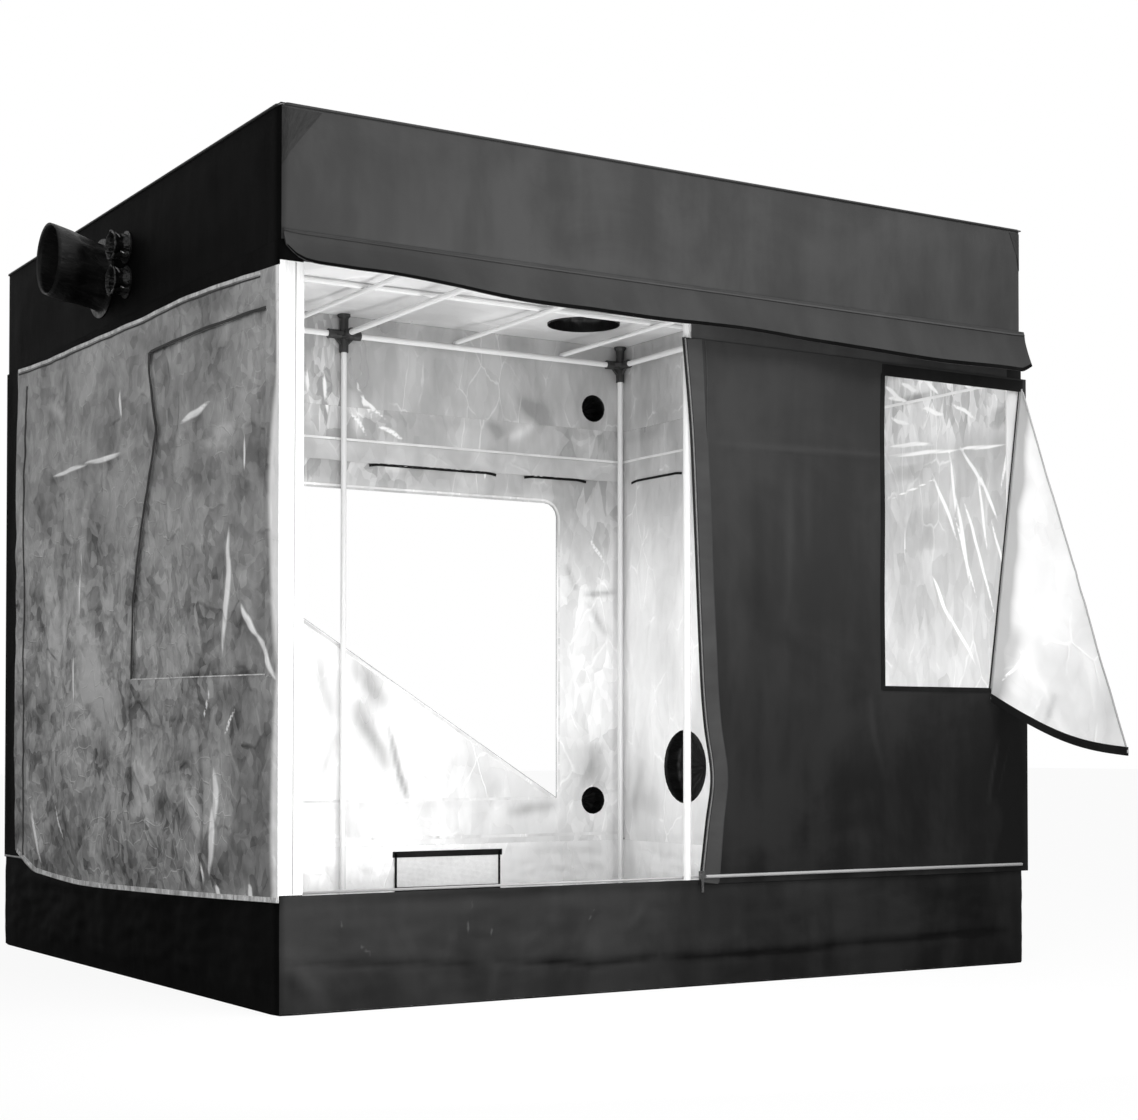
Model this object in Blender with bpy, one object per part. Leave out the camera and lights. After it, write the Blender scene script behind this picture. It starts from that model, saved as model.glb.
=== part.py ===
"""Indoor grow tent: tube frame in moulded connectors, sewn cover, hinged doors and flaps, sleeves and vents.

Metres, +Z up, the origin on the floor at the middle of the footprint. The front, with the doors, faces -Y.
"""
import math

import bpy
import bmesh
from mathutils import Matrix, Vector

for old_object in list(bpy.data.objects):
    bpy.data.objects.remove(old_object, do_unlink=True)

# Driving sizes
WIDTH = 2.20
DEPTH = 2.00
HEIGHT = 2.00
CLOTH = 0.003
DOOR_CLOTH = 0.004
GAP = 0.0003
OVERRUN = 0.02
TUBE_RADIUS = 0.0095
TUBE_WALL = 0.0012
BAR_RADIUS = 0.008
POLE_INSET = 0.025
RAIL_DROP = 0.070
BASE_RAIL_HEIGHT = 0.030
SILL_HEIGHT = 0.260
BAND_DEPTH = 0.300
HINGE_OUT = 0.0045
LEFT_DOOR_OPEN_DEG = 103.0

RAIL_HEIGHT = HEIGHT - RAIL_DROP
BAND_BOTTOM = HEIGHT - BAND_DEPTH
X_SIDE = WIDTH / 2
Y_SIDE = DEPTH / 2
X_POLE = X_SIDE - POLE_INSET
Y_POLE = Y_SIDE - POLE_INSET
UP = Vector((0, 0, 1))
EAST = Vector((1, 0, 0))
NORTH = Vector((0, 1, 0))


def material(name, colour, metallic, roughness):
    """A Principled material with its own plain values."""
    made = bpy.data.materials.new(name)
    made.use_nodes = True
    shader = made.node_tree.nodes["Principled BSDF"]
    shader.inputs["Base Color"].default_value = (*colour, 1)
    shader.inputs["Metallic"].default_value = metallic
    shader.inputs["Roughness"].default_value = roughness
    return made


TUBE_PAINT = material("white_tube_paint", (0.86, 0.86, 0.85), 0.1, 0.35)
CONNECTOR_PLASTIC = material("black_connector_plastic", (0.02, 0.02, 0.02), 0.0, 0.45)
COVER_CLOTH = material("dark_cover_cloth", (0.05, 0.05, 0.055), 0.0, 0.7)
SILVER_LINING = material("silver_lining", (0.75, 0.75, 0.76), 0.6, 0.3)
SLEEVE_CLOTH = material("black_sleeve_cloth", (0.02, 0.02, 0.022), 0.0, 0.75)
VENT_MESH = material("vent_mesh", (0.55, 0.55, 0.55), 0.0, 0.6)
ZIP_METAL = material("zip_metal", (0.1, 0.1, 0.1), 0.8, 0.4)


def add_object(name, mesh, surface, origin=Vector()):
    """Link a mesh given in world places as an object whose origin is moved to the named point."""
    mesh.transform(Matrix.Translation(-origin))
    made = bpy.data.objects.new(name, mesh)
    made.location = origin
    bpy.context.collection.objects.link(made)
    if surface:
        mesh.materials.append(surface)
    return made


def put_origin(made, origin):
    """Move the origin of a piece that is still modelled in world places."""
    made.data.transform(Matrix.Translation(-origin))
    made.location = origin


def mesh_from(name, points, faces):
    """A closed mesh from points and faces, its normals turned outwards."""
    shape = bmesh.new()
    corners = [shape.verts.new(point) for point in points]
    for face in faces:
        shape.faces.new([corners[index] for index in face])
    bmesh.ops.recalc_face_normals(shape, faces=shape.faces)
    mesh = bpy.data.meshes.new(name)
    shape.to_mesh(mesh)
    shape.free()
    return mesh


def smooth_round(made, angle_deg=40):
    """Shade a round piece smooth, with its rims kept sharp."""
    made.data.shade_smooth()
    made.data.set_sharp_from_angle(angle=math.radians(angle_deg))
    return made


def frame_about(axis):
    """Two unit vectors square to an axis."""
    guide = UP if abs(axis.z) < 0.9 else EAST
    side = guide.cross(axis).normalized()
    return side, axis.cross(side).normalized()


def turned_mesh(name, centre, axis, outline, sides, closed_section):
    """Revolve (radius, height) points about an axis. A zero radius makes a pole."""
    side, other = frame_about(axis)
    rings = []
    points = []
    for radius, height in outline:
        middle = centre + axis * height
        if radius == 0:
            rings.append([len(points)])
            points.append(middle)
            continue
        ring = []
        for step in range(sides):
            angle = math.tau * (step + 0.5) / sides
            ring.append(len(points))
            points.append(middle + (side * math.cos(angle) + other * math.sin(angle)) * radius)
        rings.append(ring)
    pairs = list(zip(rings, rings[1:]))
    if closed_section:
        pairs.append((rings[-1], rings[0]))
    faces = []
    for lower, upper in pairs:
        for step in range(sides):
            after = (step + 1) % sides
            quad = [lower[step % len(lower)], lower[after % len(lower)]]
            quad += [upper[after % len(upper)], upper[step % len(upper)]]
            faces.append(tuple(dict.fromkeys(quad)))
    return mesh_from(name, points, faces)


def rod_mesh(name, start, end, radius, sides=12):
    """A solid round rod between two points."""
    length = (end - start).length
    outline = [(0, 0), (radius, 0), (radius, length), (0, length)]
    return turned_mesh(name, start, (end - start).normalized(), outline, sides, False)


def tube(name, start, end, radius):
    """A hollow frame tube with open ends."""
    length = (end - start).length
    inner = radius - TUBE_WALL
    outline = [(inner, 0), (radius, 0), (radius, length), (inner, length)]
    mesh = turned_mesh(name, start, (end - start).normalized(), outline, 12, True)
    return smooth_round(add_object(name, mesh, TUBE_PAINT, (start + end) / 2))


def box_mesh(name, low, high):
    """A box between two corners."""
    points = []
    for place in range(8):
        pick = [(high if place >> bit & 1 else low)[bit] for bit in range(3)]
        points.append(Vector(pick))
    faces = [(0, 1, 3, 2), (4, 5, 7, 6), (0, 1, 5, 4), (2, 3, 7, 6), (0, 2, 6, 4), (1, 3, 7, 5)]
    return mesh_from(name, points, faces)


def prism_mesh(name, outline, offset):
    """A flat outline of points, pushed along an offset."""
    count = len(outline)
    points = list(outline) + [point + offset for point in outline]
    faces = [tuple(range(count)), tuple(range(count, 2 * count))]
    for step in range(count):
        after = (step + 1) % count
        faces.append((step, after, count + after, count + step))
    return mesh_from(name, points, faces)


def combine(target, meshes, operation):
    """Join or cut a piece with tool meshes through one exact Boolean each, applied."""
    for mesh in meshes:
        tool = add_object("tool", mesh, None)
        tool.hide_render = True
        tool.display_type = "WIRE"
        change = target.modifiers.new("combine", "BOOLEAN")
        change.operation = operation
        change.solver = "EXACT"
        change.object = tool
        bpy.context.view_layer.update()
        evaluated = target.evaluated_get(bpy.context.evaluated_depsgraph_get())
        result = bpy.data.meshes.new_from_object(evaluated)
        target.modifiers.clear()
        target.data = result
        bpy.data.objects.remove(tool, do_unlink=True)
    return target


def sheet_mesh(name, columns, rows, place, thickness, present=lambda column, row: True):
    """A cloth sheet on a grid of cells, given both faces and its edges.

    place(column, row) gives a middle point and the way to the upper face. Cells can be left out as holes.
    """
    points = []
    for column in range(columns + 1):
        for row in range(rows + 1):
            middle, way = place(column, row)
            points.append(middle + way * thickness / 2)
            points.append(middle - way * thickness / 2)

    def index(column, row, layer):
        return (column * (rows + 1) + row) * 2 + layer

    cells = {(c, r) for c in range(columns) for r in range(rows) if present(c, r)}
    faces = []
    for column, row in sorted(cells):
        ring = [(column, row), (column + 1, row), (column + 1, row + 1), (column, row + 1)]
        faces.append([index(*corner, 0) for corner in ring])
        faces.append([index(*corner, 1) for corner in reversed(ring)])
        neighbours = [(column, row - 1), (column + 1, row), (column, row + 1), (column - 1, row)]
        for side, neighbour in enumerate(neighbours):
            if neighbour not in cells:
                start, end = ring[side], ring[(side + 1) % 4]
                faces.append([index(*start, 1), index(*end, 1), index(*end, 0), index(*start, 0)])
    used = sorted({corner for face in faces for corner in face})
    renamed = {corner: place_index for place_index, corner in enumerate(used)}
    kept = [points[corner] for corner in used]
    return mesh_from(name, kept, [[renamed[corner] for corner in face] for face in faces])


def along_curve(knots, value):
    """Read a smooth curve through (place, height) knots with cosine easing."""
    if value <= knots[0][0]:
        return knots[0][1]
    for (start, low), (end, high) in zip(knots, knots[1:]):
        if value <= end:
            share = (value - start) / (end - start)
            return low + (high - low) * (1 - math.cos(math.pi * share)) / 2
    return knots[-1][1]


def arch(value, start, end):
    """A smooth rise and fall between two places, zero outside them."""
    share = min(max((value - start) / (end - start), 0), 1)
    return math.sin(math.pi * share)


# Moulded connectors with blind sockets, gusset webs and a cap or foot
COLLAR_RADIUS = 0.0150
COLLAR_LENGTH = 0.058
SOCKET_STOP = 0.014
WEB_THICKNESS = 0.012
WEB_REACH = 0.046
CAP_RADIUS = 0.0215
CAP_FLARE = 0.008
CAP_RIM = 0.006


def connector(name, hub, arms, end_way, end_height):
    """A hub with a socket for each arm, webs between the arms and a round pad at its outer end."""
    reach = abs(end_height - hub.z)
    outline = [(0, 0), (COLLAR_RADIUS, 0), (COLLAR_RADIUS, reach - CAP_RIM - CAP_FLARE)]
    outline += [(CAP_RADIUS, reach - CAP_RIM), (CAP_RADIUS, reach), (0, reach)]
    made = add_object(name, turned_mesh(name, hub, end_way, outline, 12, False), CONNECTOR_PLASTIC)
    solids = []
    bores = []
    for arm in arms:
        solids.append(rod_mesh("collar", hub - arm * COLLAR_RADIUS, hub + arm * COLLAR_LENGTH, COLLAR_RADIUS))
        stop = hub + arm * (SOCKET_STOP - GAP)
        bores.append(rod_mesh("bore", stop, hub + arm * (COLLAR_LENGTH + OVERRUN), TUBE_RADIUS + GAP))
    for first, second in zip(arms, arms[1:] + arms[:1]):
        way = first.cross(second) * WEB_THICKNESS
        if way.length:
            corner = hub - way / 2
            outline = [corner, corner + first * WEB_REACH, corner + second * WEB_REACH]
            solids.append(prism_mesh("web", outline, way))
    combine(made, solids, "UNION")
    combine(made, bores, "DIFFERENCE")
    return smooth_round(made, 25)


ROOF_UNDER = HEIGHT - CLOTH - GAP
FLOOR_OVER = CLOTH + GAP
PLACES = {"front_left": (-1, -1), "front_right": (1, -1), "rear_left": (-1, 1), "rear_right": (1, 1)}
PLACES.update({"front_middle": (0, -1), "rear_middle": (0, 1)})


def frame_connectors():
    """Twelve connectors: four corners and two middles, at the top and at the base."""
    for place, (across, back) in PLACES.items():
        inward = [NORTH * -back]
        sideways = [EAST * -across] if across else [EAST, -EAST]
        top_hub = Vector((across * X_POLE, back * Y_POLE, RAIL_HEIGHT))
        top_arms = sideways[:1] + [-UP] + sideways[1:] + inward
        connector("top_connector_" + place, top_hub, top_arms, UP, ROOF_UNDER)
        base_hub = Vector((across * X_POLE, back * Y_POLE, BASE_RAIL_HEIGHT))
        base_arms = sideways[:1] + [UP] + sideways[1:] + (inward if across else [])
        connector("base_connector_" + place, base_hub, base_arms, -UP, FLOOR_OVER)


def frame_tubes():
    """Six uprights, six top rails, the middle beam and six base rails."""
    stop = SOCKET_STOP
    for place, (across, back) in PLACES.items():
        foot = Vector((across * X_POLE, back * Y_POLE, BASE_RAIL_HEIGHT + stop))
        head = Vector((across * X_POLE, back * Y_POLE, RAIL_HEIGHT - stop))
        tube("upright_" + place, foot, head, TUBE_RADIUS)
    for level, height in (("top", RAIL_HEIGHT), ("base", BASE_RAIL_HEIGHT)):
        for side, across in (("left", -1), ("right", 1)):
            for face, back in (("front", -1), ("rear", 1)):
                inner = Vector((across * stop, back * Y_POLE, height))
                outer = Vector((across * (X_POLE - stop), back * Y_POLE, height))
                tube("_".join((level, "rail", face, side)), inner, outer, TUBE_RADIUS)
            near = Vector((across * X_POLE, -Y_POLE + stop, height))
            far = Vector((across * X_POLE, Y_POLE - stop, height))
            tube("_".join((level, "rail", side)), near, far, TUBE_RADIUS)
    near = Vector((0, -Y_POLE + stop, RAIL_HEIGHT))
    far = Vector((0, Y_POLE - stop, RAIL_HEIGHT))
    tube("middle_beam", near, far, TUBE_RADIUS)


# Hanging bars that lie on the rails, and a cross bar that lies on them
BAR_PLACE_SHARES = {"left": -0.182, "centre": 0.382, "right": 0.764}
BAR_END_MARGIN = 0.010
CROSS_BAR_END_MARGIN = 0.040
CROSS_BAR_SHARE = 0.43
BAR_HEIGHT = RAIL_HEIGHT + TUBE_RADIUS + BAR_RADIUS + GAP
CROSS_BAR_HEIGHT = BAR_HEIGHT + 2 * BAR_RADIUS + GAP


def hanging_bars():
    """Three bars from front to rear and the cross bar above them."""
    reach = Y_SIDE - BAR_END_MARGIN
    for place, share in BAR_PLACE_SHARES.items():
        near = Vector((share * X_SIDE, -reach, BAR_HEIGHT))
        tube("hanging_bar_" + place, near, Vector((share * X_SIDE, reach, BAR_HEIGHT)), BAR_RADIUS)
    reach = X_SIDE - CROSS_BAR_END_MARGIN
    left = Vector((-reach, CROSS_BAR_SHARE * Y_SIDE, CROSS_BAR_HEIGHT))
    tube("hanging_bar_cross", left, Vector((reach, left.y, CROSS_BAR_HEIGHT)), BAR_RADIUS)


# Sewn cover: ground sheet, sill ring, side walls, rear wall, top band, front valance and roof
ROOF_SAG = 0.0235
ROOF_PORT_RADIUS = 0.120
ROOF_PORT_ACROSS = 0.700
ROOF_PORT_BACK = 0.620
ROOF_PORT_PLACE = Vector((ROOF_PORT_ACROSS, ROOF_PORT_BACK, HEIGHT))
CORNER_RETURN = 0.055
HEADER_DROP_LEFT = 0.045
HEADER_DROP_RIGHT = 0.140
VENT_INNER = 0.200
VENT_WIDTH = 0.400
VENT_BOTTOM = 0.060
VENT_TOP = 0.235
FLOOR_CORNER_RADIUS = 0.020
REAR_OPENING_X = 0.825
REAR_OPENING_DROP = 0.270
REAR_OPENING_TOP = BAND_BOTTOM - REAR_OPENING_DROP
REAR_OPENING_BOTTOM = 0.410
REAR_OPENING_ROUND = 0.048

# Ports: how far back or across, how far up, and the radius. Those in the band are placed from its seam
BIG_PORT_BACK = 0.160
BIG_PORT_RISE = 0.130
BIG_PORT_RADIUS = 0.086
SMALL_PORT_BACK = -0.030
SMALL_PORT_RISES = {"upper": 0.175, "lower": 0.085}
SMALL_PORT_RADIUS = 0.032
REAR_PORT_ACROSS = 0.975
REAR_PORT_RISE = 0.075
REAR_PORT_UP = 0.400
REAR_PORT_RADIUS = 0.048
REAR_PORT_SEAM = 0.012
RIGHT_PORT_BACK = 0.610
RIGHT_PORT_UP = 0.520
RIGHT_PORT_RADIUS = 0.125
LEFT_BIG_PORT = (BIG_PORT_BACK, BAND_BOTTOM + BIG_PORT_RISE, BIG_PORT_RADIUS)
LEFT_SMALL_PORTS = {}
for rise_place, rise in SMALL_PORT_RISES.items():
    LEFT_SMALL_PORTS[rise_place] = (SMALL_PORT_BACK, BAND_BOTTOM + rise, SMALL_PORT_RADIUS)
REAR_PORTS = {
    "upper": (REAR_PORT_ACROSS, BAND_BOTTOM + REAR_PORT_RISE, REAR_PORT_RADIUS),
    "lower": (REAR_PORT_ACROSS, REAR_PORT_UP, REAR_PORT_RADIUS),
}
RIGHT_PORT = (RIGHT_PORT_BACK, RIGHT_PORT_UP, RIGHT_PORT_RADIUS)


def round_cutter(centre, axis, radius, sides=24):
    """A round tool through a cloth wall."""
    reach = axis * OVERRUN
    return rod_mesh("round_cutter", centre - reach, centre + reach, radius, sides)


def rounded_corner(centre, radius, start_deg, steps, flat):
    """Points of a quarter arc, placed by flat(across, up)."""
    arc = []
    for step in range(steps + 1):
        angle = math.radians(start_deg + 90 * step / steps)
        arc.append(flat(centre[0] + radius * math.cos(angle), centre[1] + radius * math.sin(angle)))
    return arc


def footprint_ring(inset, height):
    """The tent's outline seen from above, with small round corners."""
    radius = FLOOR_CORNER_RADIUS - inset
    points = []
    quarters = ((1, 1, 0), (-1, 1, 90), (-1, -1, 180), (1, -1, 270))
    for across, back, start in quarters:
        middle = (across * (X_SIDE - FLOOR_CORNER_RADIUS), back * (Y_SIDE - FLOOR_CORNER_RADIUS))
        points += rounded_corner(middle, radius, start, 2, lambda x, y: Vector((x, y, height)))
    return points


def square_ring(name, low, high):
    """A square sewn band of cloth round the tent between two heights."""
    outer = box_mesh(name, Vector((-X_SIDE, -Y_SIDE, low)), Vector((X_SIDE, Y_SIDE, high)))
    made = add_object(name, outer, COVER_CLOTH)
    inner_x = X_SIDE - CLOTH
    inner_y = Y_SIDE - CLOTH
    near = Vector((-inner_x, -inner_y, low - OVERRUN))
    combine(made, [box_mesh("hollow", near, Vector((inner_x, inner_y, high + OVERRUN)))], "DIFFERENCE")
    return made


def ground_sheet_and_sill():
    """The ground sheet, the sill ring sewn round it and the two rear mesh vents in the ring."""
    sheet = prism_mesh("ground_sheet", footprint_ring(0, 0), UP * CLOTH)
    add_object("ground_sheet", sheet, COVER_CLOTH)
    ring = prism_mesh("sill_ring", footprint_ring(0, FLOOR_OVER), UP * (SILL_HEIGHT - FLOOR_OVER))
    sill = add_object("sill_ring", ring, COVER_CLOTH)
    hollow = prism_mesh("hollow", footprint_ring(CLOTH, FLOOR_OVER - OVERRUN), UP * (SILL_HEIGHT + OVERRUN))
    combine(sill, [hollow], "DIFFERENCE")
    for side, across in (("left", -1), ("right", 1)):
        inner = across * VENT_INNER
        outer = across * (VENT_INNER + VENT_WIDTH)
        low_x, high_x = min(inner, outer), max(inner, outer)
        near = Vector((low_x, Y_SIDE - OVERRUN, VENT_BOTTOM))
        far = Vector((high_x, Y_SIDE + OVERRUN, VENT_TOP))
        combine(sill, [box_mesh("vent_hole", near, far)], "DIFFERENCE")
        low = Vector((low_x + GAP, Y_SIDE - CLOTH, VENT_BOTTOM + GAP))
        high = Vector((high_x - GAP, Y_SIDE, VENT_TOP - GAP))
        add_object("rear_vent_mesh_" + side, box_mesh("vent", low, high), VENT_MESH)


def side_wall(name, across):
    """A side wall that turns round the front corner pole with a narrow return."""
    low, high = SILL_HEIGHT + GAP, BAND_BOTTOM - GAP
    outer, inner = across * X_SIDE, across * (X_SIDE - CLOTH)
    fold = across * (X_SIDE - CORNER_RETURN)
    outline = [(outer, -Y_SIDE), (outer, Y_SIDE), (inner, Y_SIDE), (inner, -Y_SIDE + CLOTH)]
    outline += [(fold, -Y_SIDE + CLOTH), (fold, -Y_SIDE)]
    points = [Vector((x, y, low)) for x, y in outline]
    return add_object(name, prism_mesh(name, points, UP * (high - low)), COVER_CLOTH)


def side_walls():
    """The left wall, and the right wall with its low duct port."""
    side_wall("left_wall", -1)
    wall = side_wall("right_wall", 1)
    back, up, radius = RIGHT_PORT
    combine(wall, [round_cutter(Vector((X_SIDE, back, up)), EAST, radius)], "DIFFERENCE")


def rear_flat(across, up):
    """A point on the rear wall's inner face."""
    return Vector((across, Y_SIDE - CLOTH, up))


def rear_wall():
    """The rear wall, with its large zipped opening and its lower cable port."""
    reach_x = X_SIDE - CLOTH - GAP
    low, high = SILL_HEIGHT + GAP, BAND_BOTTOM - GAP
    near, far = Vector((-reach_x, Y_SIDE - CLOTH, low)), Vector((reach_x, Y_SIDE, high))
    wall = add_object("rear_wall", box_mesh("rear_wall", near, far), COVER_CLOTH)
    radius = REAR_OPENING_ROUND
    outline = [rear_flat(-REAR_OPENING_X, REAR_OPENING_TOP), rear_flat(-REAR_OPENING_X, REAR_OPENING_BOTTOM)]
    outline.append(rear_flat(REAR_OPENING_X, REAR_OPENING_BOTTOM))
    centre = (REAR_OPENING_X - radius, REAR_OPENING_TOP - radius)
    outline += rounded_corner(centre, radius, 0, 4, rear_flat)
    outline = [point - NORTH * OVERRUN for point in outline]
    tools = [prism_mesh("opening", outline, NORTH * 2 * OVERRUN)]
    back, up, radius = REAR_PORTS["lower"]
    tools.append(round_cutter(Vector((back, Y_SIDE, up)), NORTH, radius + REAR_PORT_SEAM, 16))
    combine(wall, tools, "DIFFERENCE")


def rear_flap_zipped_half():
    """The lower half of the rear opening's flap, still zipped into the wall along its left and lower edges."""
    left, low = GAP - REAR_OPENING_X, REAR_OPENING_BOTTOM + GAP
    slope = (REAR_OPENING_TOP - REAR_OPENING_BOTTOM) / (2 * REAR_OPENING_X)
    points = [rear_flat(left, low), rear_flat(REAR_OPENING_X - GAP / slope, low)]
    points.append(rear_flat(left, REAR_OPENING_TOP - GAP * slope))
    add_object("rear_flap_zipped_half", prism_mesh("rear_flap_zipped_half", points, NORTH * CLOTH), COVER_CLOTH)


def top_band():
    """The deep band under the roof, with the front header behind the valance and its side and rear ports."""
    band = square_ring("top_band", BAND_BOTTOM, ROOF_UNDER)
    fold = X_SIDE - CORNER_RETURN - GAP
    top = BAND_BOTTOM + OVERRUN
    left, right = BAND_BOTTOM - HEADER_DROP_LEFT, BAND_BOTTOM - HEADER_DROP_RIGHT
    corners = [(-fold, left), (0, left), (0, right), (fold, right), (fold, top), (-fold, top)]
    header = [Vector((across, -Y_SIDE, up)) for across, up in corners]
    combine(band, [prism_mesh("header", header, NORTH * CLOTH)], "UNION")
    holes = []
    for back, up, radius in (LEFT_BIG_PORT, *LEFT_SMALL_PORTS.values()):
        holes.append(round_cutter(Vector((-X_SIDE, back, up)), EAST, radius, 16))
    across, up, radius = REAR_PORTS["upper"]
    holes.append(round_cutter(Vector((across, Y_SIDE, up)), NORTH, radius, 16))
    combine(band, holes, "DIFFERENCE")


VALANCE_FLARE = 0.055
VALANCE_OVERHANG = 0.003
VALANCE_DROP_SHARES = ((-1, 0.167), (-0.78, 0.177), (-0.48, 0.267), (-0.3, 0.293), (0.05, 0.287))
VALANCE_DROP_SHARES += ((0.3, 0.300), (0.6, 0.337), (0.95, 0.330), (1, 0.293))
VALANCE_COLUMNS = 28
VALANCE_ROWS = 4
VALANCE_RIPPLE = 0.006
VALANCE_WAVES = 5
VALANCE_CURVE = 1.4


def front_valance():
    """The loose strip that hangs from the front of the band and hides the door zips."""
    attach = Vector((0, -Y_SIDE - GAP - CLOTH / 2, BAND_BOTTOM + OVERRUN))

    def place(column, row):
        across = 2 * column / VALANCE_COLUMNS - 1
        fall = row / VALANCE_ROWS
        edge = BAND_BOTTOM - along_curve(VALANCE_DROP_SHARES, across) * BAND_DEPTH
        height = attach.z + (edge - attach.z) * fall
        ripple = VALANCE_RIPPLE * math.sin(VALANCE_WAVES * math.pi * across) * fall
        flare = (VALANCE_FLARE + ripple) * fall ** VALANCE_CURVE
        return Vector((across * (X_SIDE + VALANCE_OVERHANG), attach.y - flare, height)), -NORTH

    mesh = sheet_mesh("front_valance", VALANCE_COLUMNS, VALANCE_ROWS, place, CLOTH)
    add_object("front_valance", mesh, COVER_CLOTH)


ROOF_FLATNESS = 4
ROOF_GRID_SHARES = (-1, -0.94, -0.85, -0.7, -0.45, -0.15, 0.15, 0.45, 0.7, 0.85, 0.94, 1)


def roof_dip(share):
    """How much of the sag a place across the roof takes: none over the connectors' caps."""
    flat_share = ROOF_GRID_SHARES[-2]
    return 1 - min(abs(share) / flat_share, 1) ** ROOF_FLATNESS


def roof():
    """The roof sheet, which sags between its sewn edges and rests on the connectors' caps."""

    def place(column, row):
        across, back = ROOF_GRID_SHARES[column], ROOF_GRID_SHARES[row]
        height = HEIGHT - CLOTH / 2 - ROOF_SAG * roof_dip(across) * roof_dip(back)
        return Vector((across * X_SIDE, back * Y_SIDE, height)), UP

    cells = len(ROOF_GRID_SHARES) - 1
    sheet = add_object("roof", sheet_mesh("roof", cells, cells, place, CLOTH), COVER_CLOTH)
    low, high = ROOF_PORT_PLACE - UP * (ROOF_SAG + OVERRUN), ROOF_PORT_PLACE + UP * OVERRUN
    combine(sheet, [rod_mesh("port", low, high, ROOF_PORT_RADIUS, 24)], "DIFFERENCE")


# Duct sleeves: a sewn ring on the wall and a cloth tube that stands out of it, open or drawn shut
RING_WIDTH = 0.020
SMALL_RING_WIDTH = 0.010
SMALL_SLEEVE_RADIUS = 0.040
SLEEVE_CLOTH_THICK = 0.003
CUFF_STEP = 0.004
CUFF_INNER_SHARE = 0.50
CUFF_START_SHARE = 0.55
CUFF_END_SHARE = 0.62
DRAWN_WALL_SHARE = 0.60
PUCKER_SHARE = 0.35


def sleeve(name, centre, axis, radius, length, drawn_shut, sides=20):
    """One sleeve, seated on the outer face of its wall. A drawn one closes to a puckered end."""
    thick = SLEEVE_CLOTH_THICK
    rim = radius + (SMALL_RING_WIDTH if radius < SMALL_SLEEVE_RADIUS else RING_WIDTH)
    outline = [(radius, GAP), (rim, GAP), (rim, GAP + thick), (radius + thick, GAP + thick)]
    if drawn_shut:
        wall, pucker = length * DRAWN_WALL_SHARE, radius * PUCKER_SHARE
        outline = [(0, length - thick), (pucker, length - thick), (radius, wall)] + outline
        outline += [(radius + thick, wall + thick), (pucker + thick, length), (0, length + thick)]
    else:
        cuff = radius + CUFF_STEP
        outline += [(radius + thick, length * CUFF_START_SHARE), (cuff + thick, length * CUFF_END_SHARE)]
        outline += [(cuff + thick, length), (radius, length), (radius, length * CUFF_INNER_SHARE)]
    mesh = turned_mesh(name, centre, axis, outline, sides, not drawn_shut)
    return smooth_round(add_object(name, mesh, SLEEVE_CLOTH))


SLEEVE_TILT_DEG = 14
BIG_SLEEVE_LENGTH = 0.150
SMALL_SLEEVE_LENGTH = 0.045
SHUT_SLEEVE_LENGTH = 0.090
ROOF_SLEEVE_LENGTH = 0.050


def tilt_outer_end(made, start, axis, tilt_deg, ring_depth):
    """Shear a sleeve upwards past its sewn ring, so that its free end stands higher."""
    for point in made.data.vertices:
        out = (made.matrix_world @ point.co - start).dot(axis)
        point.co.z += max(out - ring_depth, 0) * math.tan(math.radians(tilt_deg))


def sleeves():
    """Three sleeves on the left, two at the rear, one low on the right and one on the roof."""
    back, up, radius = LEFT_BIG_PORT
    start = Vector((-X_SIDE, back, up))
    big = sleeve("duct_sleeve_left", start, -EAST, radius, BIG_SLEEVE_LENGTH, False)
    tilt_outer_end(big, start, -EAST, SLEEVE_TILT_DEG, GAP + SLEEVE_CLOTH_THICK)
    for place, (back, up, radius) in LEFT_SMALL_PORTS.items():
        start = Vector((-X_SIDE, back, up))
        sleeve("cable_sleeve_left_" + place, start, -EAST, radius, SMALL_SLEEVE_LENGTH, False, 16)
    for place, (across, up, radius) in REAR_PORTS.items():
        start = Vector((across, Y_SIDE, up))
        sleeve("cable_sleeve_rear_" + place, start, NORTH, radius, SHUT_SLEEVE_LENGTH, True, 16)
    back, up, radius = RIGHT_PORT
    sleeve("duct_sleeve_right", Vector((X_SIDE, back, up)), EAST, radius, SHUT_SLEEVE_LENGTH, True)


ROOF_WALL_SHARE = 0.30
ROOF_PUCKER_SHARE = 0.42


def roof_sleeve():
    """The roof's sleeve, drawn shut, its ring inside the rim of the hole that it is sewn to."""
    radius = ROOF_PORT_RADIUS - GAP
    thick = SLEEVE_CLOTH_THICK
    low, top = -ROOF_SAG - CLOTH, ROOF_SLEEVE_LENGTH
    wall, pucker = top * ROOF_WALL_SHARE, radius * ROOF_PUCKER_SHARE
    outline = [(0, top - 2 * thick), (pucker - thick, top - 2 * thick), (radius - thick, wall)]
    outline += [(radius - thick, low), (radius, low), (radius, wall), (pucker, top - thick), (0, top)]
    mesh = turned_mesh("duct_sleeve_roof", ROOF_PORT_PLACE, UP, outline, 24, False)
    smooth_round(add_object("duct_sleeve_roof", mesh, SLEEVE_CLOTH))


# Doors: cloth panels on a sewn seam at each front corner pole
BEAD_RADIUS = 0.006
FLAP_BEAD_RADIUS = 0.004
FLAP_OUT = DOOR_CLOTH / 2 + FLAP_BEAD_RADIUS + GAP
WINDOW_BOTTOM = 0.745
WINDOW_DROP = 0.145
WINDOW_TOP = BAND_BOTTOM - WINDOW_DROP
WINDOW_END = 0.497
HINGE_X = X_SIDE + HINGE_OUT
HINGE_Y = -Y_SIDE - HINGE_OUT
LEFT_AXIS = Vector((-HINGE_X, HINGE_Y, 0))
RIGHT_AXIS = Vector((HINGE_X, HINGE_Y, 0))
FOLD_DEPTH = 0.011


ROWS_BELOW = 4
ROWS_BESIDE = 8
WINDOW_ROWS = range(ROWS_BELOW, ROWS_BELOW + ROWS_BESIDE)


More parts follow.
